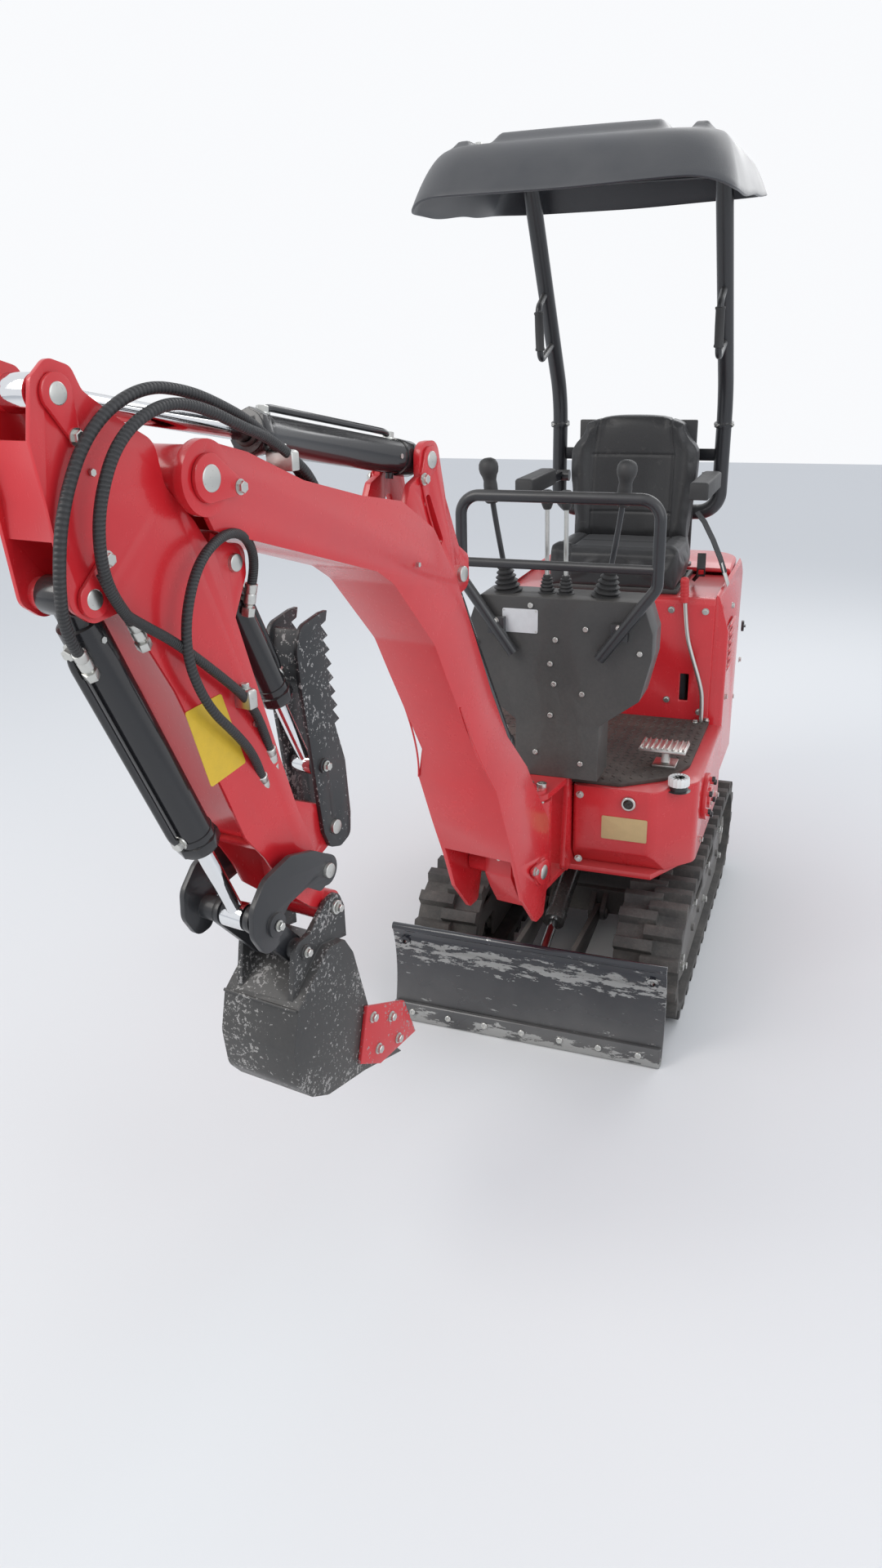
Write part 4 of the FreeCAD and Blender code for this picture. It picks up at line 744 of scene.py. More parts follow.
carry(teeth[0], "bucket_teeth", dug_steel, "bucket_body")

# Thumb: two black plates with flame-cut teeth and a web at their tips, pinned under the arm.
dressed("thumb", dug_steel, 0.0012)
spots = []
for x in (39, -39):
    spots.append((swung(x, -908, 1051), across * (1 if x > 0 else -1)))
fasten(pin_bolt, "thumb_pin_bolts", spots, zinc_plate, "thumb_body")

# Upper frame and its boxes: red plate and pressed steel on the turntable. The tank stands on the
# operator's left, the tool and hydraulic box on the right, both bolted down to the deck.
dressed("upper_frame", machine_red, 0.0018)
for node in ("tank", "right_box", "side_flange", "counterweight"):
    dressed(node, machine_red, 0.0028)
cap_screw = socket_screw(0.0075, 0.007)
spots = [(at(357 + 6, -215 + 50 * math.cos(t), 540 + 50 * math.sin(t)), (1, 0, 0))
         for t in [math.radians(60 * i + 30) for i in range(6)]]
black_bolt = enamel("black_bolt", (0.016, 0.016, 0.018), 0.7, 0.4)
fasten(cap_screw, "flange_screws", spots, black_bolt, "upper_structure")
spots = [(at(357 + 6, -215 + 18 * math.cos(t), 540 + 18 * math.sin(t)), (1, 0, 0)) for t in (0.5, 2.6, 4.7)]
fasten(socket_screw(0.005, 0.004), "flange_plugs", spots, zinc_plate, "upper_structure")
spots = []
for x, z in ((62, 420), (62, 600), (-98, 420), (-98, 600)):
    spots.append((at(x, -440, z), (0, -1, 0)))
for side in (1, -1):
    for y in (-240, -60, 80):
        spots.append((at(side * 345, y, 425), (side, 0, 0)))
fasten(hex_bolt(0.013, 0.008), "box_bolts", spots, zinc_plate, "upper_structure")
points = [at(-72, -440, 640), at(-40, -441, 642), at(36, -441, 642)]
line_piece("bracket_bead", points, 0.003, machine_red, "upper_structure")

# Sight gauge: a plated bezel screwed into the tank's face, with a dark window behind five spokes.
gauge_dark = enamel("gauge_dark", (0.02, 0.012, 0.008), 0.85, 0.2)
bpy.ops.object.select_all(action="DESELECT")
bpy.ops.mesh.primitive_cylinder_add(vertices=48, radius=0.0185, depth=0.007)
bezel = bpy.context.object
pick(bezel, lambda centre, normal: normal.z > 0.9)
bpy.ops.mesh.inset(thickness=0.0016)
bpy.ops.transform.translate(value=(0, 0, 0.0016))
bpy.ops.mesh.inset(thickness=0.0042)
bpy.ops.mesh.extrude_region_move(TRANSFORM_OT_translate={"value": (0, 0, -0.0042)})
bpy.ops.object.mode_set(mode="OBJECT")
round_edges(bezel, 0.0006)
facing = Matrix.Rotation(math.radians(90), 4, "X")
bezel.data.transform(Matrix.Translation(at(187, -444, 591)) @ facing)
carry(bezel, "gauge_bezel", zinc_plate, "upper_structure")
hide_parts("sight_gauge")
bpy.ops.object.select_all(action="DESELECT")
bpy.ops.mesh.primitive_cylinder_add(vertices=40, radius=0.0128, depth=0.002)
window = bpy.context.object
pick(window, lambda centre, normal: normal.z > 0.9)
bpy.ops.mesh.inset(thickness=0.003)
bpy.ops.transform.translate(value=(0, 0, 0.0011))
bpy.ops.object.mode_set(mode="OBJECT")
window.data.transform(Matrix.Translation(at(187, -446, 591)) @ facing)
carry(window, "gauge_window", gauge_dark, "upper_structure")
bpy.ops.object.select_all(action="DESELECT")
bpy.ops.mesh.primitive_cube_add(size=1.0, location=(0.006, 0, 0))
spoke = bpy.context.object
spoke.scale = (0.0105, 0.0022, 0.0024)
bpy.ops.object.transform_apply(location=True, rotation=True, scale=True)
round_edges(spoke, 0.0005)
spoke = kept_mesh(spoke)
bpy.ops.object.select_all(action="DESELECT")
for i in range(5):
    copy = bpy.data.objects.new("spoke", spoke.copy())
    copy.data.transform(Matrix.Translation(at(187, -448, 591)) @ facing @ Matrix.Rotation(math.radians(72 * i + 90), 4, "Z"))
    bpy.context.scene.collection.objects.link(copy)
    copy.select_set(True)
    bpy.context.view_layer.objects.active = copy
bpy.ops.object.join()
carry(bpy.context.view_layer.objects.active, "gauge_spokes", gauge_dark, "upper_structure")

# A blank gold foil where the makers put their plate on the tank's face.
gold_foil = plain_label("gold_foil", (0.60, 0.44, 0.22), 0.34, 0.35)
foil("tank_plate_blank", [at(x, -441.2, z) for x, z in ((120, 487), (236, 487), (236, 550), (120, 550))],
     gold_foil, "upper_structure", 0.0016)

# Filler cap: a white moulded cap with finger flutes round its skirt, screwed on a black neck.
white_moulding, w = new_material("white_moulding")
place = w.node("ShaderNodeTexCoord", output=3)
mottle = w.node("ShaderNodeTexNoise", {"Vector": place, "Scale": 90.0, "Detail": 5.0})
fine = w.node("ShaderNodeTexNoise", {"Vector": place, "Scale": 900.0, "Detail": 2.0})
shade = w.blend((mottle - 0.35) * 0.5, (0.82, 0.82, 0.80), (0.52, 0.50, 0.46))
bump = w.node("ShaderNodeBump", {"Height": fine, "Distance": 0.0003, "Strength": 0.2})
surface = w.node("ShaderNodeBsdfPrincipled", {"Base Color": shade, "Roughness": mottle * 0.2 + 0.35, "Normal": bump})
w.node("ShaderNodeOutputMaterial", {0: surface})
bpy.ops.object.select_all(action="DESELECT")
bpy.ops.mesh.primitive_cylinder_add(vertices=96, radius=0.0265, depth=0.018)
cap = bpy.context.object
for corner in cap.data.vertices:
    turn = math.atan2(corner.co.y, corner.co.x)
    swell = 1.0 + 0.028 * max(-0.4, math.cos(16 * turn))
    corner.co.x *= swell
    corner.co.y *= swell
pick(cap, lambda centre, normal: normal.z > 0.9)
bpy.ops.mesh.inset(thickness=0.002)
bpy.ops.transform.translate(value=(0, 0, 0.003))
bpy.ops.mesh.inset(thickness=0.009)
bpy.ops.mesh.extrude_region_move(TRANSFORM_OT_translate={"value": (0, 0, -0.002)})
bpy.ops.object.mode_set(mode="OBJECT")
round_edges(cap, 0.0008)
cap.data.transform(Matrix.Translation(at(300, -385, 643)))
carry(cap, "filler_cap", white_moulding, "upper_structure", 50.0)
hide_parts("tank_cap")
bpy.ops.object.select_all(action="DESELECT")
bpy.ops.mesh.primitive_cylinder_add(vertices=48, radius=0.0235, depth=0.016, location=at(300, -385, 629))
neck = bpy.context.object
pick(neck, lambda centre, normal: normal.z < -0.9)
bpy.ops.mesh.extrude_region_move(TRANSFORM_OT_translate={"value": (0, 0, -0.002)})
bpy.ops.transform.resize(value=(1.28, 1.28, 1.0))
bpy.ops.object.mode_set(mode="OBJECT")
carry(neck, "filler_neck", black_bolt, "upper_structure")

# Floor mat: black rubber laid loose on the boxes, with short raised bars set in alternate
# directions for grip.
mat_black, w = new_material("mat_black")
place = w.node("ShaderNodeTexCoord", output=3)
cloud = w.node("ShaderNodeTexNoise", {"Vector": place, "Scale": 12.0, "Detail": 7.0, "Roughness": 0.7})
grit = w.node("ShaderNodeTexNoise", {"Vector": place, "Scale": 260.0, "Detail": 4.0, "Roughness": 0.75})
dust = w.maths("MINIMUM", w.maths("MAXIMUM", cloud - 0.30, 0.0) * (grit + 0.4) * 1.3, 0.7)
shade = w.blend(dust, (0.040, 0.030, 0.027), (0.20, 0.165, 0.135))
bump = w.node("ShaderNodeBump", {"Height": grit, "Distance": 0.0008, "Strength": 0.45})
surface = w.node("ShaderNodeBsdfPrincipled", {"Base Color": shade, "Roughness": cloud * 0.2 + 0.62, "Normal": bump})
w.node("ShaderNodeOutputMaterial", {0: surface})
dressed("floor_mat", mat_black, 0.0012)
bpy.ops.object.select_all(action="DESELECT")
bpy.ops.mesh.primitive_cube_add(size=1.0, location=(0, 0, 0.0007))
bar = bpy.context.object
bar.scale = (0.016, 0.005, 0.0022)
bpy.ops.object.transform_apply(location=True, rotation=True, scale=True)
pick(bar, lambda centre, normal: normal.z > 0.9)
bpy.ops.transform.resize(value=(0.8, 0.5, 1.0))
bpy.ops.object.mode_set(mode="OBJECT")
bar = kept_mesh(bar)
mat_edge = [(-305, 108), (-305, -318), (-262, -402), (160, -408), (250, -345), (296, -238), (296, 108)]


def within(x, y, corners):
    """Whether a place lies inside a closed outline of corners."""
    inside = False
    for (ax, ay), (bx, by) in zip(corners, corners[1:] + corners[:1]):
        if (ay > y) != (by > y) and x < (bx - ax) * (y - ay) / (by - ay) + ax:
            inside = not inside
    return inside


spots = []
for i in range(-13, 14):
    for j in range(-19, 6):
        x, y = i * 22.5, j * 22.5
        if within(x, y, mat_edge) and math.hypot(x - 300, y + 385) > 46 and not (205 < x < 285 and -300 < y < -220):
            spots.append((at(x, y, 635), i + j))
bpy.ops.object.select_all(action="DESELECT")
for point, count in spots:
    copy = bpy.data.objects.new("bar", bar.copy())
    copy.data.transform(Matrix.Translation(point) @ Matrix.Rotation(math.radians(45 + 90 * (count % 2)), 4, "Z"))
    bpy.context.scene.collection.objects.link(copy)
    copy.select_set(True)
    bpy.context.view_layer.objects.active = copy
bpy.ops.object.join()
carry(bpy.context.view_layer.objects.active, "mat_bars", mat_black, "upper_structure")

# Foot pedal: a plated grating on a short stem. Its bars stand on edge in a folded rim.
dressed("foot_pedal", zinc_plate, 0.0012)
bpy.ops.object.select_all(action="DESELECT")
bpy.ops.mesh.primitive_cube_add(size=1.0)
rib = bpy.context.object
rib.scale = (0.004, 0.078, 0.005)
bpy.ops.object.transform_apply(location=True, rotation=True, scale=True)
round_edges(rib, 0.001)
rib = kept_mesh(rib)
spots = [(at(184 + i * 14, -260, 690), (0, 0, 1)) for i in range(9)]
fasten(rib, "pedal_ribs", spots, zinc_plate, "upper_structure")
spots = [(at(186 + i * 27, y, 688), (0, 0, 1)) for i in range(5) for y in (-292, -228)]
fasten(socket_screw(0.004, 0.0035), "pedal_studs", spots, zinc_plate, "upper_structure")

# Seat base, hood and side covers: pressed red sheet over the engine, with turned edges, louvres
# and black latches. The engine block inside is one plain casting.
for node in ("seat_box", "hood", "side_covers"):
    dressed(node, machine_red, 0.003)
cast_grey = enamel("cast_grey", (0.25, 0.26, 0.27), 0.35, 0.8, peel=0.4)
dressed("engine_block", cast_grey, 0.006)
spots = [(at(x, 118, z), (0, -1, 0)) for x, z in ((180, 955), (275, 955), (180, 690), (275, 660), (-180, 955), (-275, 955))]
for side in (1, -1):
    for y, z in ((190, 690), (190, 960), (420, 620), (560, 700)):
        spots.append((at(side * (338 if y < 300 else 335), y, z), (side, 0, 0)))
fasten(hex_bolt(0.013, 0.007), "cover_bolts", spots, zinc_plate, "upper_structure")
# Louvre hoods: a half-round pressing over each slot, made from a bar cut along its length.
bpy.ops.object.select_all(action="DESELECT")
bpy.ops.mesh.primitive_uv_sphere_add(segments=24, ring_count=12, radius=1.0)
louvre = bpy.context.object
louvre.scale = (0.066, 0.0085, 0.007)
bpy.ops.object.transform_apply(location=True, rotation=True, scale=True)
bpy.ops.object.mode_set(mode="EDIT")
bpy.ops.mesh.select_all(action="SELECT")
bpy.ops.mesh.bisect(plane_co=(0, 0, 0), plane_no=(0, 0, 1), clear_inner=True, use_fill=True)
bpy.ops.mesh.select_all(action="SELECT")
bpy.ops.mesh.bisect(plane_co=(0, -0.002, 0), plane_no=(0, 1, 0), clear_inner=True, use_fill=True)
bpy.ops.object.mode_set(mode="OBJECT")
louvre = kept_mesh(louvre)
bpy.ops.object.select_all(action="DESELECT")
for side in (1, -1):
    for i in range(6):
        copy = bpy.data.objects.new("louvre", louvre.copy())
        face = Matrix(((0, 0, side), (side, 0, 0), (0, 1, 0))).to_4x4()
        copy.data.transform(Matrix.Translation(at(side * 339, 235, 783 + i * 24)) @ face)
        bpy.context.scene.collection.objects.link(copy)
        copy.select_set(True)
        bpy.context.view_layer.objects.active = copy
    for i in range(6):
        copy = bpy.data.objects.new("louvre", louvre.copy())
        face = Matrix(((1, 0, 0), (0, 0, 1), (0, 1, 0))).to_4x4()
        copy.data.transform(Matrix.Translation(at(side * 76, 741, 736 + i * 30)) @ face)
        bpy.context.scene.collection.objects.link(copy)
        copy.select_set(True)
        bpy.context.view_layer.objects.active = copy
bpy.ops.object.join()
louvres = carry(bpy.context.view_layer.objects.active, "louvre_hoods", machine_red, "upper_structure", 60.0)
alone(louvres)
bpy.ops.object.mode_set(mode="EDIT")
bpy.ops.mesh.select_all(action="SELECT")
bpy.ops.mesh.normals_make_consistent(inside=False)
bpy.ops.object.mode_set(mode="OBJECT")
# Latches: a black knurled turn button on each cover, and a grab handle on the hood.
bpy.ops.object.select_all(action="DESELECT")
bpy.ops.mesh.primitive_cylinder_add(vertices=32, radius=0.017, depth=0.008, location=(0, 0, 0.004))
latch = bpy.context.object
pick(latch, lambda centre, normal: normal.z > 0.9)
bpy.ops.mesh.inset(thickness=0.003)
bpy.ops.mesh.extrude_region_move(TRANSFORM_OT_translate={"value": (0, 0, -0.002)})
bpy.ops.mesh.inset(thickness=0.004)
bpy.ops.transform.resize(value=(1.0, 0.4, 1.0))
bpy.ops.mesh.extrude_region_move(TRANSFORM_OT_translate={"value": (0, 0, 0.007)})
bpy.ops.object.mode_set(mode="OBJECT")
round_edges(latch, 0.0007)
latch = kept_mesh(latch)
spots = [(at(0, 743, 940), (0, 1, 0)), (at(338, 520, 820), (1, 0.06, 0)), (at(-338, 520, 820), (-1, 0.06, 0))]
fasten(latch, "latches", spots, black_bolt, "upper_structure")
points = [at(-70, 741, 970), at(-70, 757, 970), at(-66, 759, 970), at(66, 759, 970), at(70, 757, 970), at(70, 741, 970)]
line_piece("hood_handle", points, 0.006, black_bolt, "upper_structure")

# Console: a folded black shell on the floor's front edge, screwed at its flanges, with a blank
# white data plate. The guard rail in front of it is bent tube on two flat brackets.
shell_black = enamel("shell_black", (0.020, 0.020, 0.021), 0.50, 0.9, peel=0.5, dust_top=1.2)
dressed("console", shell_black, 0.0022)
dressed("guard_rail", satin_black, 0.0016)
shell_screw = socket_screw(0.0065, 0.005)
spots = [(at(x, -480, z), (0, -1, 0)) for x, z in (
    (-182, 1090), (-60, 1090), (75, 1040), (2, 1010), (0, 900), (70, 880), (-8, 820), (-45, 720), (-10, 950),
    (-196, 990), (205, 990), (70, 700))]
fasten(shell_screw, "console_screws", spots, zinc_plate, "upper_structure")
white_foil = plain_label("white_foil", (0.66, 0.67, 0.68), 0.32, 0.4)
foil("console_plate_blank", [at(x, -481.2, z) for x, z in ((-130, 1022), (-42, 1022), (-42, 1080), (-130, 1080))],
     white_foil, "upper_structure", 0.0014)
spots = [(at(x, -481, z), (0, -1, 0)) for x in (-126, -46) for z in (1026, 1076)]
fasten(socket_screw(0.0022, 0.0022), "console_plate_rivets", spots, zinc_plate, "upper_structure")
spots = [(at(8 + s * 150, -499.5, z), (0, -1, 0)) for s in (-1, 1) for z in (1028, 1052)]
fasten(hex_bolt(0.011, 0.007), "rail_bracket_bolts", spots, zinc_plate, "upper_structure")


# Joysticks and travel levers: black rubber bellows clipped to the console's top, plated shafts
# bent outwards, and moulded grips with a rounded head.
def turned(profile, sides=40):
    """A piece turned about its upright axis from pairs of radius and height."""
    bpy.ops.object.select_all(action="DESELECT")
    bpy.ops.mesh.primitive_circle_add(vertices=sides, radius=profile[0][0], fill_type="NGON",
                                      location=(0, 0, profile[0][1]))
    piece = bpy.context.object
    bpy.ops.object.transform_apply(location=True, rotation=True, scale=True)
    bpy.ops.object.mode_set(mode="EDIT")
    bpy.ops.mesh.select_mode(type="FACE")
    bpy.ops.mesh.select_all(action="SELECT")
    for (r0, h0), (r1, h1) in zip(profile, profile[1:]):
        bpy.ops.mesh.extrude_region_move(TRANSFORM_OT_translate={"value": (0, 0, h1 - h0)})
        bpy.ops.transform.resize(value=(r1 / r0, r1 / r0, 1.0))
    bpy.ops.mesh.select_all(action="SELECT")
    bpy.ops.mesh.normals_make_consistent(inside=False)
    bpy.ops.object.mode_set(mode="OBJECT")
    return piece


def stood(piece, foot, head):
    """Turns a piece made on the origin to stand at one place and point to another."""
    turn = (head - foot).to_track_quat("Z", "Y").to_matrix().to_4x4()
    piece.data.transform(Matrix.Translation(foot) @ turn)
    return piece


soft_black, w = new_material("soft_black")
place = w.node("ShaderNodeTexCoord", output=3)
cloud = w.node("ShaderNodeTexNoise", {"Vector": place, "Scale": 26.0, "Detail": 5.0})
leather = w.node("ShaderNodeTexVoronoi", {"Vector": place, "Scale": 620.0})
shade = w.blend(cloud * 0.6, (0.024, 0.024, 0.025), (0.060, 0.058, 0.055))
bump = w.node("ShaderNodeBump", {"Height": leather, "Distance": 0.0004, "Strength": 0.35})
surface = w.node("ShaderNodeBsdfPrincipled", {"Base Color": shade, "Roughness": cloud * 0.2 + 0.45, "Normal": bump})
w.node("ShaderNodeOutputMaterial", {0: surface})


def bellows(foot_radius, head_radius, height, folds):
    """A rubber boot: a flange, then folds that step in towards the shaft."""
    profile = [(foot_radius * 1.12, 0.0), (foot_radius * 1.12, 0.003), (foot_radius, 0.004)]
    for i in range(folds):
        share = (i + 0.5) / folds
        radius = foot_radius + (head_radius - foot_radius) * share
        level = 0.004 + (height - 0.004) * i / folds
        step = (height - 0.004) / folds
        profile += [(radius * 0.84, level + step * 0.25), (radius * 1.02, level + step * 0.62),
                    (radius * 1.02, level + step * 0.78)]
    profile += [(head_radius * 0.8, height), (head_radius * 0.8, height + 0.006), (head_radius * 0.3, height + 0.007)]
    return turned(profile)


for side, word in ((1, "left"), (-1, "right")):
    foot = at(-12 + side * 122, -425, 1109)
    waist = at(-12 + side * 157, -440, 1335)
    head = at(-12 + side * 163, -443, 1400)
    carry(stood(bellows(0.033, 0.016, 0.062, 5), foot, foot + Vector((side * 0.012, -0.004, 0.1))), word + "_boot",
          soft_black, "upper_structure", 50.0)
    line_piece(word + "_shaft", [foot + Vector((side * 0.006, -0.003, 0.05)), foot.lerp(waist, 0.6), waist, head],
               0.0065, satin_black, "upper_structure", 4)
    grip = turned([(0.0125, -0.012), (0.0165, -0.008), (0.0150, 0.004), (0.0165, 0.016), (0.0162, 0.030), (0.0150, 0.040),
                   (0.0175, 0.050), (0.0215, 0.058), (0.0232, 0.068), (0.0222, 0.078), (0.0178, 0.086), (0.0095, 0.0905),
                   (0.002, 0.0915)], 48)
    carry(stood(grip, waist - (head - waist) * 0.05, head), word + "_grip", soft_black, "upper_structure",
          60.0)
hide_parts("joysticks")
for number, x in enumerate((-35, 11)):
    foot, waist, head = at(x, -425, 1109), at(x, -433, 1312), at(x, -435, 1352)
    carry(stood(bellows(0.019, 0.012, 0.038, 4), foot, waist), "travel_boot_%d" % number, soft_black, "upper_structure",
          50.0)
    line_piece("travel_shaft_%d" % number, [foot, foot.lerp(waist, 0.5), waist], 0.0055, zinc_plate, "upper_structure",
               4)
    knob = turned([(0.0085, -0.004), (0.0105, 0.0), (0.0135, 0.008), (0.0150, 0.018), (0.0156, 0.026), (0.0145, 0.034),
                   (0.0100, 0.0395), (0.002, 0.041)], 40)
    carry(stood(knob, waist, head), "travel_knob_%d" % number, soft_black, "upper_structure", 60.0)
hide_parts("travel_levers")

# Safety lever: a bent plated bar beside the seat with a ribbed red sleeve pushed over its end.
red_sleeve = enamel("red_sleeve", (0.55, 0.02, 0.025), 0.45, 0.3, peel=0.3)
line_piece("lever_bar", [at(284, 104, 634), at(284, 104, 700), at(276, 104, 745), at(244, 104, 838), at(230, 104, 885),
                         at(218, 104, 985), at(216, 104, 1020)], 0.0062, zinc_plate, "upper_structure", 4)
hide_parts("safety_lever")
profile = [(0.0085, 0.0), (0.0118, 0.002)]
for i in range(6):
    profile += [(0.0122, 0.006 + i * 0.009), (0.0108, 0.009 + i * 0.009), (0.0122, 0.012 + i * 0.009)]
profile += [(0.0122, 0.064), (0.0095, 0.070), (0.003, 0.072)]
carry(stood(turned(profile, 32), at(218, 104, 980), at(214, 104, 1052)), "lever_sleeve", red_sleeve, "upper_structure",
      50.0)
fasten(hex_bolt(0.012, 0.008), "lever_foot_bolts", [(at(270, 92, 636), (0, 0, 1)), (at(298, 116, 636), (0, 0, 1))],
       zinc_plate, "upper_structure")

# Seat: foam cushions covered in black grained vinyl, sewn at the bolsters, on a moulded pan. The
# backrest has a wide hollow between two bolsters and rounded shoulders.
vinyl, w = new_material("seat_vinyl")
place = w.node("ShaderNodeTexCoord", output=3)
cloud = w.node("ShaderNodeTexNoise", {"Vector": place, "Scale": 11.0, "Detail": 5.0})
grain = w.node("ShaderNodeTexVoronoi", {"Vector": place, "Scale": 420.0}, {"feature": "SMOOTH_F1"})
crease = w.node("ShaderNodeTexNoise", {"Vector": place, "Scale": 38.0, "Detail": 6.0, "Roughness": 0.7, "Distortion": 1.2})
shade = w.blend(cloud * 0.7, (0.017, 0.017, 0.018), (0.034, 0.033, 0.033))
shade = w.blend((crease > 0.62) * 0.25, shade, (0.075, 0.070, 0.066))
bump = w.node("ShaderNodeBump", {"Height": grain * 0.8 + crease * 0.6, "Distance": 0.0006, "Strength": 0.4})
surface = w.node("ShaderNodeBsdfPrincipled", {
    "Base Color": shade, "Roughness": cloud * 0.16 + 0.36, "Normal": bump, "Sheen Weight": 0.12, "Sheen Roughness": 0.5,
})
w.node("ShaderNodeOutputMaterial", {0: surface})


def ease(start, end, value):
    """0 before the start, 1 after the end and smooth between."""
    share = min(1.0, max(0.0, (value - start) / (end - start)))
    return share * share * (3.0 - 2.0 * share)


def stuffed(name, form, seams, cap=0.007):
    """A cushion: a block shaped by form(u, v, w), blown up as sewn cloth, with grooves at its seams."""
    bpy.ops.object.select_all(action="DESELECT")
    bpy.ops.mesh.primitive_cube_add(size=2.0)
    pad = bpy.context.object
    bpy.ops.object.mode_set(mode="EDIT")
    bpy.ops.mesh.select_all(action="SELECT")
    bpy.ops.mesh.subdivide(number_cuts=17)
    bpy.ops.object.mode_set(mode="OBJECT")
    for corner in pad.data.vertices:
        corner.co = form(*corner.co)
    remesh = pad.modifiers.new("skin", "REMESH")
    remesh.mode = "VOXEL"
    remesh.voxel_size = 0.006
    alone(pad)
    bpy.ops.object.modifier_apply(modifier="skin")
    rest = [corner.co.copy() for corner in pad.data.vertices]
    cloth = pad.modifiers.new("stuffing", "CLOTH")
    cloth.settings.use_pressure = True
    cloth.settings.uniform_pressure_force = 4.0
    cloth.settings.effector_weights.gravity = 0.0
    cloth.settings.quality = 5
    cloth.point_cache.frame_start = 1
    cloth.point_cache.frame_end = 20
    for frame_number in range(1, 21):
        bpy.context.scene.frame_set(frame_number)
    alone(pad)
    bpy.ops.object.modifier_apply(modifier="stuffing")
    bpy.context.scene.frame_set(1)
    for corner, start in zip(pad.data.vertices, rest):
        moved = corner.co - start
        if moved.length > cap:
            corner.co = start + moved * (cap / moved.length)
    smooth = pad.modifiers.new("skin", "SMOOTH")
    smooth.iterations = 3
    bpy.ops.object.modifier_apply(modifier="skin")
    finer = pad.modifiers.new("finer", "SUBSURF")
    finer.levels = finer.render_levels = 1
    bpy.ops.object.modifier_apply(modifier="finer")
    facings = [corner.normal.copy() for corner in pad.data.vertices]
    for corner, facing in zip(pad.data.vertices, facings):
        depth = sum(deep * math.exp(-(away / wide) ** 2) for away, wide, deep in seams(corner.co))
        corner.co -= facing * depth
    return pad


def back_form(u, v, w):
    """The backrest: u across, v from its front to its back and w up."""
    rise = (w + 1.0) / 2.0
    half = 172 + 21 * ease(0.0, 0.62, rise) - 46 * ease(0.70, 1.0, rise)
    front = 386 + 26 * rise - 17 * ease(0.60, 0.80, abs(u)) + 10 * (1 - ease(0.2, 0.62, abs(u))) * (1 - ease(0.35, 0.9, rise))
    depth = (v + 1.0) / 2.0
    y = front + depth * (448 + 10 * rise - front)
    z = 1098 + 364 * rise - 24 * abs(u) ** 3 * ease(0.6, 1.0, rise)
    return at(u * half, y, z)


def back_seams(place):
    x, z = place.x * 1000 - 3.5, place.z * 1000
    side = 118 - 14 * ease(1330, 1450, z)
    panel = ease(126, 118, abs(x)) if z > 1000 else 0.0
    return ((abs(abs(x) - side), 3.2, 0.0032), (abs(z - 1345), 3.0, 0.0026 * panel), (abs(z - 1180), 3.0, 0.0022 * panel))


def base_form(u, v, w):
    """The base cushion: u across, v from its front to its back and w up."""
    x = u * (188 - 10 * ease(0.4, 1.0, v))
    y = 286 + v * 142 - 6 * (1 - abs(u)) * ease(0.5, 1.0, -v)
    top = 1104 + 9 * ease(0.64, 0.86, abs(u)) + 8 * ease(0.55, 0.9, -v) - 16 * ease(0.86, 1.0, -v)
    rise = (w + 1.0) / 2.0
    return at(x, y, 1004 + rise * (top - 1004))


def base_seams(place):
    x, y = place.x * 1000 - 3.5, place.y * 1000 - 610.5
    panel = 1.0 if abs(x) < 128 else 0.0
    return ((abs(abs(x) - 126), 3.2, 0.0032), (abs(y - 196), 3.0, 0.0026 * panel), (abs(y - 286), 3.0, 0.0020 * panel))


back = stuffed("back", back_form, back_seams)
carry(back, "seat_back", vinyl, "upper_structure", 60.0)
base = stuffed("base", base_form, base_seams)
carry(base, "seat_base", vinyl, "upper_structure", 60.0)
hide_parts("seat")
bpy.ops.object.select_all(action="DESELECT")
bpy.ops.mesh.primitive_cube_add(size=1.0, location=at(0, 295, 998))
pan = bpy.context.object
pan.scale = (0.378, 0.290, 0.015)
bpy.ops.object.transform_apply(location=False, rotation=False, scale=True)
pick(pan, lambda centre, normal: normal.z > 0.9)
bpy.ops.mesh.inset(thickness=0.012)
bpy.ops.mesh.extrude_region_move(TRANSFORM_OT_translate={"value": (0, 0, -0.006)})
bpy.ops.object.mode_set(mode="OBJECT")
round_edges(pan, 0.003)
carry(pan, "seat_pan", shell_black, "upper_structure")
bpy.ops.object.select_all(action="DESELECT")
bpy.ops.mesh.primitive_cube_add(size=1.0, location=at(0, 452, 1240))
shell = bpy.context.object
shell.scale = (0.35, 0.012, 0.40)
bpy.ops.object.transform_apply(location=False, rotation=False, scale=True)
pick(shell, lambda centre, normal: normal.y > 0.9)
bpy.ops.mesh.inset(thickness=0.035)
bpy.ops.mesh.extrude_region_move(TRANSFORM_OT_translate={"value": (0, 0.006, 0)})
bpy.ops.transform.resize(value=(0.93, 1.0, 0.93))
bpy.ops.object.mode_set(mode="OBJECT")
round_edges(shell, 0.004, 3)
carry(shell, "seat_shell", shell_black, "upper_structure")

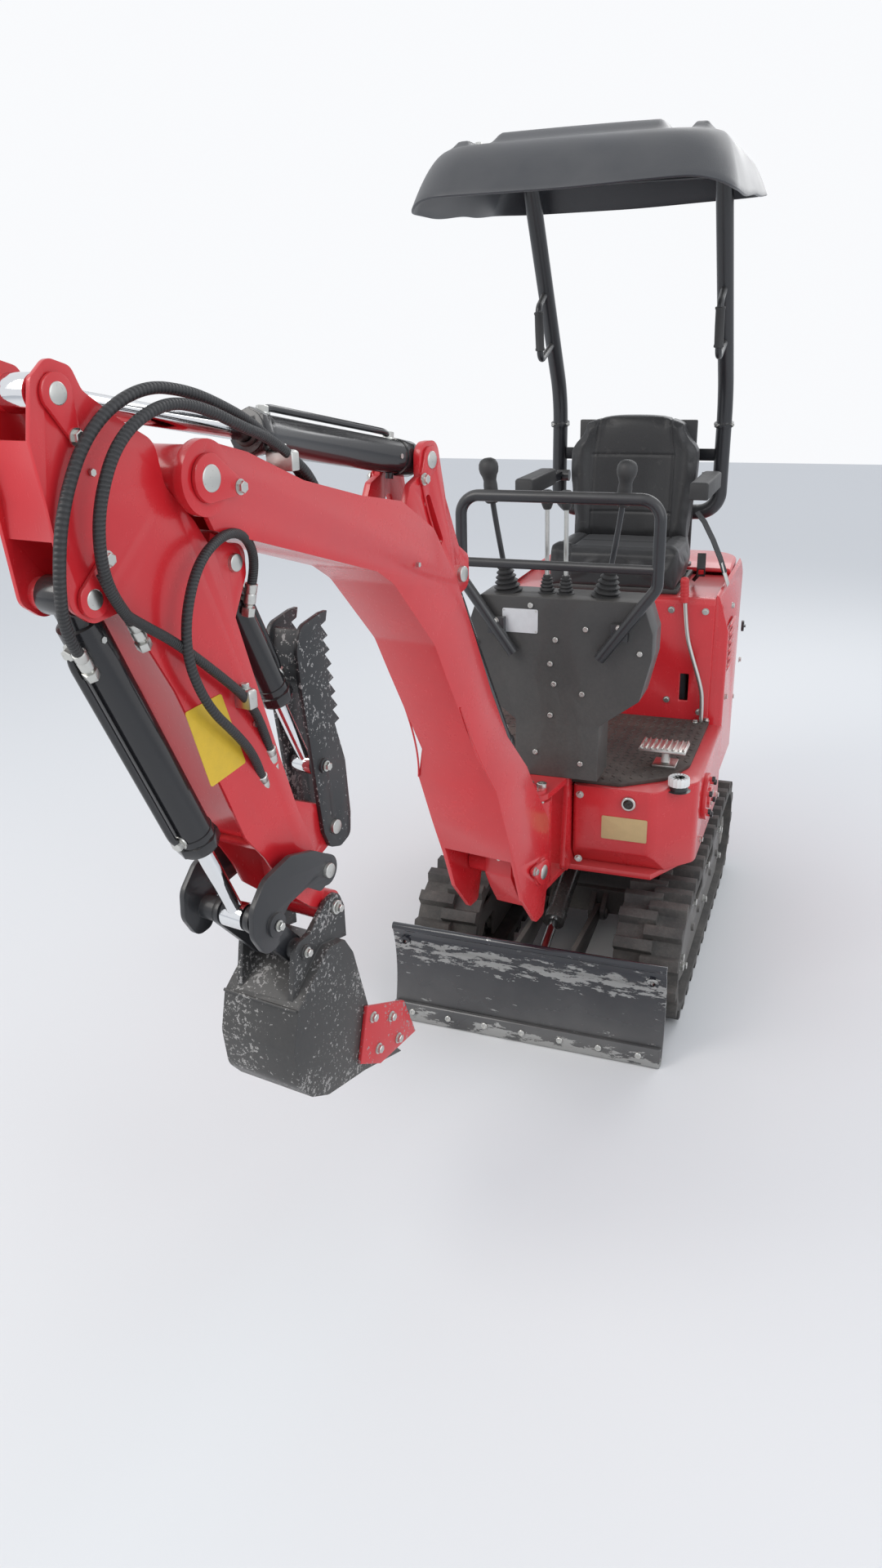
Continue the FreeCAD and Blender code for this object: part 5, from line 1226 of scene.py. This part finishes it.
# Armrests: foam pads in moulded black skin on flat bars that hinge at the backrest's sides.
for side, word in ((1, "left"), (-1, "right")):
    bpy.ops.object.select_all(action="DESELECT")
    bpy.ops.mesh.primitive_cube_add(size=1.0, location=at(side * 242, 202, 1286))
    pad = bpy.context.object
    pad.scale = (0.050, 0.262, 0.044)
    bpy.ops.object.transform_apply(location=False, rotation=False, scale=True)
    pick(pad, lambda centre, normal: normal.z > 0.9)
    bpy.ops.mesh.inset(thickness=0.008)
    bpy.ops.transform.translate(value=(0, 0, 0.003))
    bpy.ops.object.mode_set(mode="OBJECT")
    round_edges(pad, 0.010, 4, 20.0)
    carry(pad, word + "_arm_pad", soft_black, "upper_structure", 60.0)
    bpy.ops.object.select_all(action="DESELECT")
    bpy.ops.mesh.primitive_cube_add(size=1.0, location=at(side * 229, 372, 1279))
    bar = bpy.context.object
    bar.scale = (0.018, 0.120, 0.026)
    bpy.ops.object.transform_apply(location=False, rotation=False, scale=True)
    pick(bar, lambda centre, normal: abs(normal.x) > 0.9)
    bpy.ops.mesh.inset(thickness=0.005)
    bpy.ops.transform.resize(value=(0.8, 1.0, 1.0))
    bpy.ops.object.mode_set(mode="OBJECT")
    round_edges(bar, 0.0015)
    carry(bar, word + "_arm_bar", satin_black, "upper_structure")
    boss = turned([(0.0165, 0.0), (0.0165, 0.034), (0.0135, 0.038), (0.0075, 0.038), (0.007, 0.036)], 40)
    carry(stood(boss, at(side * 200, 426, 1279), at(side * 260, 426, 1279)), word + "_arm_pivot", satin_black,
          "upper_structure")
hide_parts("armrests")

# Lap belt: black webbing with a plated tongue, hung from its anchor behind the left armrest, and
# the buckle on its stalk beside the cushion.
webbing, w = new_material("webbing")
place = w.node("ShaderNodeTexCoord", output=2)
weave = w.node("ShaderNodeTexWave", {"Vector": place, "Scale": 60.0, "Distortion": 0.4}, {"wave_type": "BANDS"})
cross_weave = w.node("ShaderNodeTexWave", {"Vector": place, "Scale": 14.0}, {"wave_type": "BANDS", "bands_direction": "Y"})
shade = w.blend(weave * 0.6 + cross_weave * 0.2, (0.014, 0.014, 0.016), (0.045, 0.045, 0.048))
bump = w.node("ShaderNodeBump", {"Height": weave + cross_weave * 0.6, "Distance": 0.0005, "Strength": 0.5})
surface = w.node("ShaderNodeBsdfPrincipled", {"Base Color": shade, "Roughness": weave * 0.1 + 0.7, "Normal": bump})
w.node("ShaderNodeOutputMaterial", {0: surface})
bpy.ops.object.select_all(action="DESELECT")
bpy.ops.mesh.primitive_grid_add(x_subdivisions=40, y_subdivisions=4, size=2.0)
strap = bpy.context.object
stations = [at(206, 322, 1196), at(232, 300, 1176), at(262, 284, 1130), at(286, 276, 1080), at(303, 270, 1034)]
for corner in strap.data.vertices:
    share = (corner.co.x + 1.0) / 2.0 * (len(stations) - 1)
    index = min(len(stations) - 2, int(share))
    middle = stations[index].lerp(stations[index + 1], ease(0.0, 1.0, share - index) * 0.3 + (share - index) * 0.7)
    sag = 0.006 * math.sin(math.pi * (corner.co.x + 1.0) / 2.0)
    corner.co = middle + Vector((0.003 * corner.co.y, 0.0225 * corner.co.y, -sag))
thick = strap.modifiers.new("thickness", "SOLIDIFY")
thick.thickness = 0.0018
thick.offset = 0.0
alone(strap)
bpy.ops.object.modifier_apply(modifier="thickness")
carry(strap, "belt_webbing", webbing, "upper_structure", 60.0)
bpy.ops.object.select_all(action="DESELECT")
bpy.ops.mesh.primitive_cube_add(size=1.0)
tongue = bpy.context.object
tongue.scale = (0.050, 0.040, 0.0025)
bpy.ops.object.transform_apply(location=False, rotation=False, scale=True)
pick(tongue, lambda centre, normal: normal.y < -0.9)
bpy.ops.mesh.extrude_region_move(TRANSFORM_OT_translate={"value": (0, -0.006, 0)})
bpy.ops.transform.resize(value=(0.48, 1.0, 1.0))
bpy.ops.mesh.extrude_region_move(TRANSFORM_OT_translate={"value": (0, -0.022, 0)})
bpy.ops.object.mode_set(mode="OBJECT")
round_edges(tongue, 0.0007)
tongue.data.transform(Matrix.Translation(at(308, 270, 1018)) @ Matrix.Rotation(math.radians(70), 4, "Y")
                      @ Matrix.Rotation(math.radians(-90), 4, "Z"))
carry(tongue, "belt_tongue", zinc_plate, "upper_structure")
bpy.ops.object.select_all(action="DESELECT")
bpy.ops.mesh.primitive_cube_add(size=1.0, location=at(236, 262, 1056))
buckle = bpy.context.object
buckle.scale = (0.024, 0.058, 0.036)
buckle.rotation_euler = (math.radians(38), 0, math.radians(8))
bpy.ops.object.transform_apply(location=False, rotation=False, scale=True)
pick(buckle, lambda centre, normal: normal.y < -0.9)
bpy.ops.mesh.inset(thickness=0.004)
bpy.ops.mesh.extrude_region_move(TRANSFORM_OT_translate={"value": (0, 0.003, 0)})
bpy.ops.object.mode_set(mode="OBJECT")
round_edges(buckle, 0.0035, 3)
carry(buckle, "belt_buckle", soft_black, "upper_structure")
bpy.ops.object.select_all(action="DESELECT")
bpy.ops.mesh.primitive_cube_add(size=1.0, location=at(236, 262, 1056))
button = bpy.context.object
button.scale = (0.016, 0.056, 0.020)
button.rotation_euler = (math.radians(38), 0, math.radians(8))
bpy.ops.object.transform_apply(location=False, rotation=False, scale=True)
round_edges(button, 0.002, 3)
carry(button, "belt_button", red_sleeve, "upper_structure")
line_piece("belt_stalk", [at(210, 318, 1000), at(222, 306, 1016), at(233, 282, 1034), at(235, 272, 1044)], 0.006,
           soft_black, "upper_structure")

# Canopy posts: bent steel tube in satin black, leaning forward to a welded frame, with clamp
# collars at the joint and rubber-sleeved grab handles.
dressed("canopy_posts", satin_black, 0.0016)
spots = []
for side in (1, -1):
    for angle in (-30, 60, 150, 240):
        t = math.radians(angle)
        spots.append((at(side * 246 + 27 * math.cos(t), 483 + 27 * math.sin(t), 1425), (math.cos(t), math.sin(t), 0)))
fasten(socket_screw(0.0045, 0.006), "collar_screws", spots, zinc_plate, "upper_structure")
spots = [(at(s * 246, 476, 1339), (0, -1, 0)) for s in (-0.62, 0.62)]
spots += [(at(s * 140, 484 - 22, 1172), (0, -1, 0)) for s in (-1, 1)]
fasten(hex_bolt(0.014, 0.009), "post_bolts", spots, zinc_plate, "upper_structure")
for side, word in ((1, "left"), (-1, "right")):
    carry(stood(turned([(0.0095, 0.0), (0.0135, 0.002), (0.0135, 0.006), (0.0120, 0.009), (0.0124, 0.05), (0.0120, 0.094),
                        (0.0135, 0.097), (0.0135, 0.101), (0.0095, 0.103)], 32),
                at(side * 246, 228, 1740), at(side * 246, 247, 1630)), word + "_handle_sleeve", soft_black,
          "upper_structure", 50.0)
for side in (1, -1):
    foot = turned([(0.046, 0.0), (0.046, 0.008), (0.030, 0.010), (0.0245, 0.016), (0.0225, 0.016)], 48)
    carry(stood(foot, at(side * 130, 484, 1009), at(side * 130, 484, 1100)), "post_foot_%d" % (side + 1), satin_black,
          "upper_structure")

# Canopy roof: one moulding in black grained plastic. Its front slopes back, a raised panel runs
# down the middle between two valleys and a rounded rib runs along each side.
canopy_satin_painted_sky_tint, w = new_material("canopy_satin_painted_sky_tint")
place = w.node("ShaderNodeTexCoord", output=3)
cloud = w.node("ShaderNodeTexNoise", {"Vector": place, "Scale": 5.0, "Detail": 5.0})
grain = w.node("ShaderNodeTexVoronoi", {"Vector": place, "Scale": 380.0})
fine = w.node("ShaderNodeTexNoise", {"Vector": place, "Scale": 700.0, "Detail": 3.0})
lying = w.maths("MAXIMUM", w.node("ShaderNodeSeparateXYZ", {0: w.node("ShaderNodeTexCoord", output=1)}, output=2), 0.0)
dust = w.maths("MINIMUM", lying * w.maths("MAXIMUM", cloud - 0.3, 0.0) * 0.7, 0.35)
# Both shades carry a blue-grey tint that is a painted reflection of the sky, laid over the black plastic's own colour.
shade = w.blend(cloud, (0.027, 0.029, 0.034), (0.038, 0.041, 0.048))
shade = w.blend(dust, shade, (0.24, 0.23, 0.21))
bump = w.node("ShaderNodeBump", {"Height": grain * 0.7 + fine * 0.5, "Distance": 0.0006, "Strength": 0.35})
surface = w.node("ShaderNodeBsdfPrincipled", {"Base Color": shade, "Roughness": cloud * 0.12 + 0.33 + dust, "Normal": bump,
                                              "Coat Weight": 0.25, "Coat Roughness": 0.3})
w.node("ShaderNodeOutputMaterial", {0: surface})


def rim_point(u, v, half, front, rear, radius):
    """The place on a rounded rectangle where the square's edge point (u, v) goes."""
    middle, reach = (front + rear) / 2.0, (rear - front) / 2.0
    x, y = u * half, middle + v * reach
    core_x = max(radius - half, min(half - radius, x))
    core_y = max(front + radius, min(rear - radius, y))
    dx, dy = x - core_x, y - core_y
    if dx and dy:
        away = math.hypot(dx, dy)
        dx, dy = dx / away * radius, dy / away * radius
    return core_x + dx, core_y + dy


def roof_height(x, y):
    """How far the moulding's forms stand above its top."""
    along = ease(-400, -330, y) * (1 - ease(60, 130, y))
    panel = 27 * ease(200, 172, abs(x)) * along
    rib = 17 * ease(232, 250, abs(x)) * (1 - ease(268, 286, abs(x))) * ease(-385, -340, y) * (1 - ease(95, 135, y))
    valley = -5 * ease(196, 208, abs(x)) * (1 - ease(222, 236, abs(x))) * along
    return panel + rib + valley + 3.0 * (1 - (x / 300.0) ** 2)


bpy.ops.object.select_all(action="DESELECT")
bpy.ops.mesh.primitive_grid_add(x_subdivisions=116, y_subdivisions=116, size=2.0)
roof = bpy.context.object
SHOULDER = 0.74
for corner in roof.data.vertices:
    u, v = corner.co.x, corner.co.y
    ring = max(abs(u), abs(v), 1e-6)
    u, v = u / ring, v / ring
    inner = rim_point(u, v, 294, -391, 175, 90)
    if ring <= SHOULDER:
        x = inner[0] * ring / SHOULDER
        y = -108 + (inner[1] + 108) * ring / SHOULDER
        corner.co = at(x, y, 2066 + roof_height(x, y))
        continue
    outer = rim_point(u, v, 352, -530, 245, 115)
    climb = 1.0 - (ring - SHOULDER) / (1.0 - SHOULDER)
    pull = 2 * (1 - climb) * climb * 0.52 + climb * climb
    rise = 2 * (1 - climb) * climb * 1.0 + climb * climb
    x = outer[0] + (inner[0] - outer[0]) * pull
    y = outer[1] + (inner[1] - outer[1]) * pull
    flank = ease(225, 320, abs(outer[0]))
    hem = 1960 + 8 * ease(-40, 300, outer[0]) + 22 * ease(-60, 245, outer[1])
    hem -= flank * 22 * ease(-545, -430, outer[1]) * (1 - ease(-330, -40, outer[1]))
    corner.co = at(x, y, hem + (2066 + roof_height(x, y) - hem) * rise)
thick = roof.modifiers.new("thickness", "SOLIDIFY")
thick.thickness = 0.006
thick.offset = -1.0
alone(roof)
bpy.ops.object.modifier_apply(modifier="thickness")
round_edges(roof, 0.0012, 2, 50.0)
carry(roof, "moulded_roof", canopy_satin_painted_sky_tint, "upper_structure", 60.0)
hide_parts("canopy_roof")
spots = [(at(s * 246, y, 2080), (0, 0, 1)) for s in (-1, 1) for y in (-280, 80)]
fasten(hex_bolt(0.013, 0.008), "roof_bolts", spots, zinc_plate, "upper_structure")

# Hydraulic hoses: rubber hoses in a black spiral guard. Two leave the boom's slot, pass a clamp
# and arc over the boom's tip to the bucket cylinder, and two feed the thumb cylinder.
hose_guard, w = new_material("hose_guard")
place = w.node("ShaderNodeTexCoord", output=3)
around = w.node("ShaderNodeTexCoord", output=2)
cloud = w.node("ShaderNodeTexNoise", {"Vector": place, "Scale": 30.0, "Detail": 5.0})
lay = w.node("ShaderNodeMapping", {"Vector": around, "Rotation": (0, 0, math.radians(20)), "Scale": (46.0, 1.0, 1.0)})
turns = w.node("ShaderNodeTexWave", {"Vector": lay, "Scale": 1.0}, {"wave_type": "BANDS", "bands_direction": "X"})
shade = w.blend(turns * 0.7 + cloud * 0.3, (0.012, 0.012, 0.013), (0.040, 0.040, 0.041))
bump = w.node("ShaderNodeBump", {"Height": turns + cloud * 0.2, "Distance": 0.0016, "Strength": 0.7})
surface = w.node("ShaderNodeBsdfPrincipled", {"Base Color": shade, "Roughness": cloud * 0.2 + 0.42, "Normal": bump})
w.node("ShaderNodeOutputMaterial", {0: surface})


def hose(name, points, diameter, bodies, exit_end=0):
    """A guarded hose on one smooth line, riding on its body when it has only one; a hose between two bodies is left
    where it is built.
    """
    curve = bpy.data.curves.new(name, "CURVE")
    curve.dimensions = "3D"
    curve.resolution_u = 10
    run = curve.splines.new("NURBS")
    run.points.add(len(points) - 1)
    for knot, point in zip(run.points, points):
        knot.co = (*point, 1.0)
    run.order_u = 3
    run.use_endpoint_u = True
    piece = bpy.data.objects.new(name, curve)
    bpy.context.scene.collection.objects.link(piece)
    route = [corner.co.copy() for corner in bpy.data.meshes.new_from_object(piece).vertices]
    curve.bevel_depth = diameter / 2.0
    curve.bevel_resolution = 5
    curve.use_fill_caps = True
    alone(piece)
    bpy.ops.object.convert(target="MESH")
    piece = bpy.context.object
    piece.name = name
    piece.data.materials.clear()
    piece.data.materials.append(hose_guard)
    bpy.ops.object.shade_smooth_by_angle(angle=math.radians(60))
    if len(bodies) == 1:
        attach(piece, bodies[0])
    else:
        tuple(swung(60, -1060, 1560))
        tuple(swung(60, -1270, 1560))
        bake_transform(piece)
    return piece


hose("bucket_hose_near", [swung(*p) for p in (
    (50, -880, 1446), (52, -905, 1500), (56, -969, 1545), (66, -1031, 1574), (80, -1098, 1592), (86, -1173, 1620),
    (86, -1243, 1632), (82, -1318, 1600), (76, -1356, 1530), (70, -1360, 1462), (56, -1330, 1410), (46, -1296, 1376))],
     0.0145, ("boom_body", "arm_body"))
hose("bucket_hose_far", [swung(*p) for p in (
    (32, -880, 1448), (34, -905, 1506), (38, -969, 1552), (50, -1036, 1590), (66, -1104, 1614), (70, -1180, 1640),
    (70, -1262, 1650), (66, -1345, 1612), (60, -1395, 1530), (50, -1408, 1440), (34, -1392, 1380), (22, -1366, 1352))],
     0.0145, ("boom_body", "arm_body"))
hose("thumb_hose_near", [swung(*p) for p in (
    (62, -1352, 1450), (66, -1338, 1404), (66, -1301, 1378), (66, -1250, 1345), (64, -1165, 1274), (60, -1113, 1228),
    (52, -1076, 1176), (42, -1052, 1128))], 0.0135, ("arm_body",))
hose("thumb_hose_far", [swung(*p) for p in (
    (36, -1054, 1372), (46, -1050, 1408), (58, -1082, 1452), (68, -1140, 1464), (74, -1209, 1432), (74, -1246, 1340), (70, -1212, 1250),
    (62, -1136, 1176), (52, -1096, 1128), (40, -1074, 1092))], 0.0135, ("arm_body",))

# Hose ends: crimped ferrules and hexagon nuts in plated steel, and the bolted clamps that hold
# the hoses on the boom's top and the arm's side.
ferrule = turned([(0.0078, 0.0), (0.0092, 0.001), (0.0092, 0.012), (0.0084, 0.014), (0.0092, 0.016), (0.0092, 0.028),
                  (0.0075, 0.030), (0.0062, 0.031), (0.0062, 0.036)], 24)
bpy.ops.mesh.primitive_cylinder_add(vertices=6, radius=0.0105, depth=0.013, location=(0, 0, 0.041))
nut = bpy.context.object
round_edges(nut, 0.0008)
ferrule.select_set(True)
nut.select_set(True)
bpy.context.view_layer.objects.active = nut
bpy.ops.object.join()
ferrule = kept_mesh(nut)
ends = (
    ("bucket_ferrules", ((46, -1296, 1376), (36, -1268, 1330)), "arm_body"),
    ("bucket_far_ferrules", ((22, -1366, 1352), (14, -1344, 1318)), "arm_body"),
    ("thumb_ferrules", ((42, -1052, 1128), (30, -1030, 1078)), "arm_body"),
    ("thumb_far_ferrules", ((40, -1074, 1092), (26, -1046, 1040)), "arm_body"),
    ("thumb_top_ferrules", ((36, -1054, 1372), (28, -1056, 1336)), "arm_body"),
)
for name, (start, end), body in ends:
    start, end = swung(*start), swung(*end)
    fasten(ferrule, name, [(start - (end - start).normalized() * 0.006, end - start)], zinc_plate, body)
clamps = (
    ("boom_clamp", (44, -969, 1535), (1, 0, 0), 0.046, "boom_body"),
    ("arm_clamp", (56, -1113, 1228), (0, 0, 1), 0.030, "arm_body"),
)
for name, middle, axis, span, body in clamps:
    bpy.ops.object.select_all(action="DESELECT")
    bpy.ops.mesh.primitive_cube_add(size=1.0)
    clamp = bpy.context.object
    clamp.scale = (span, 0.018, 0.026)
    bpy.ops.object.transform_apply(location=False, rotation=False, scale=True)
    pick(clamp, lambda centre, normal: normal.z > 0.9)
    bpy.ops.mesh.inset(thickness=0.004)
    bpy.ops.transform.translate(value=(0, 0, 0.003))
    bpy.ops.object.mode_set(mode="OBJECT")
    round_edges(clamp, 0.002)
    turn = Matrix((across, outwards, Vector((0, 0, 1)))).transposed().to_4x4()
    clamp.data.transform(Matrix.Translation(swung(*middle)) @ turn)
    carry(clamp, name, zinc_plate, body)
    fasten(pin_bolt, name + "_bolt", [(swung(middle[0], middle[1], middle[2] + 15), (0, 0, 1))], zinc_plate, body)
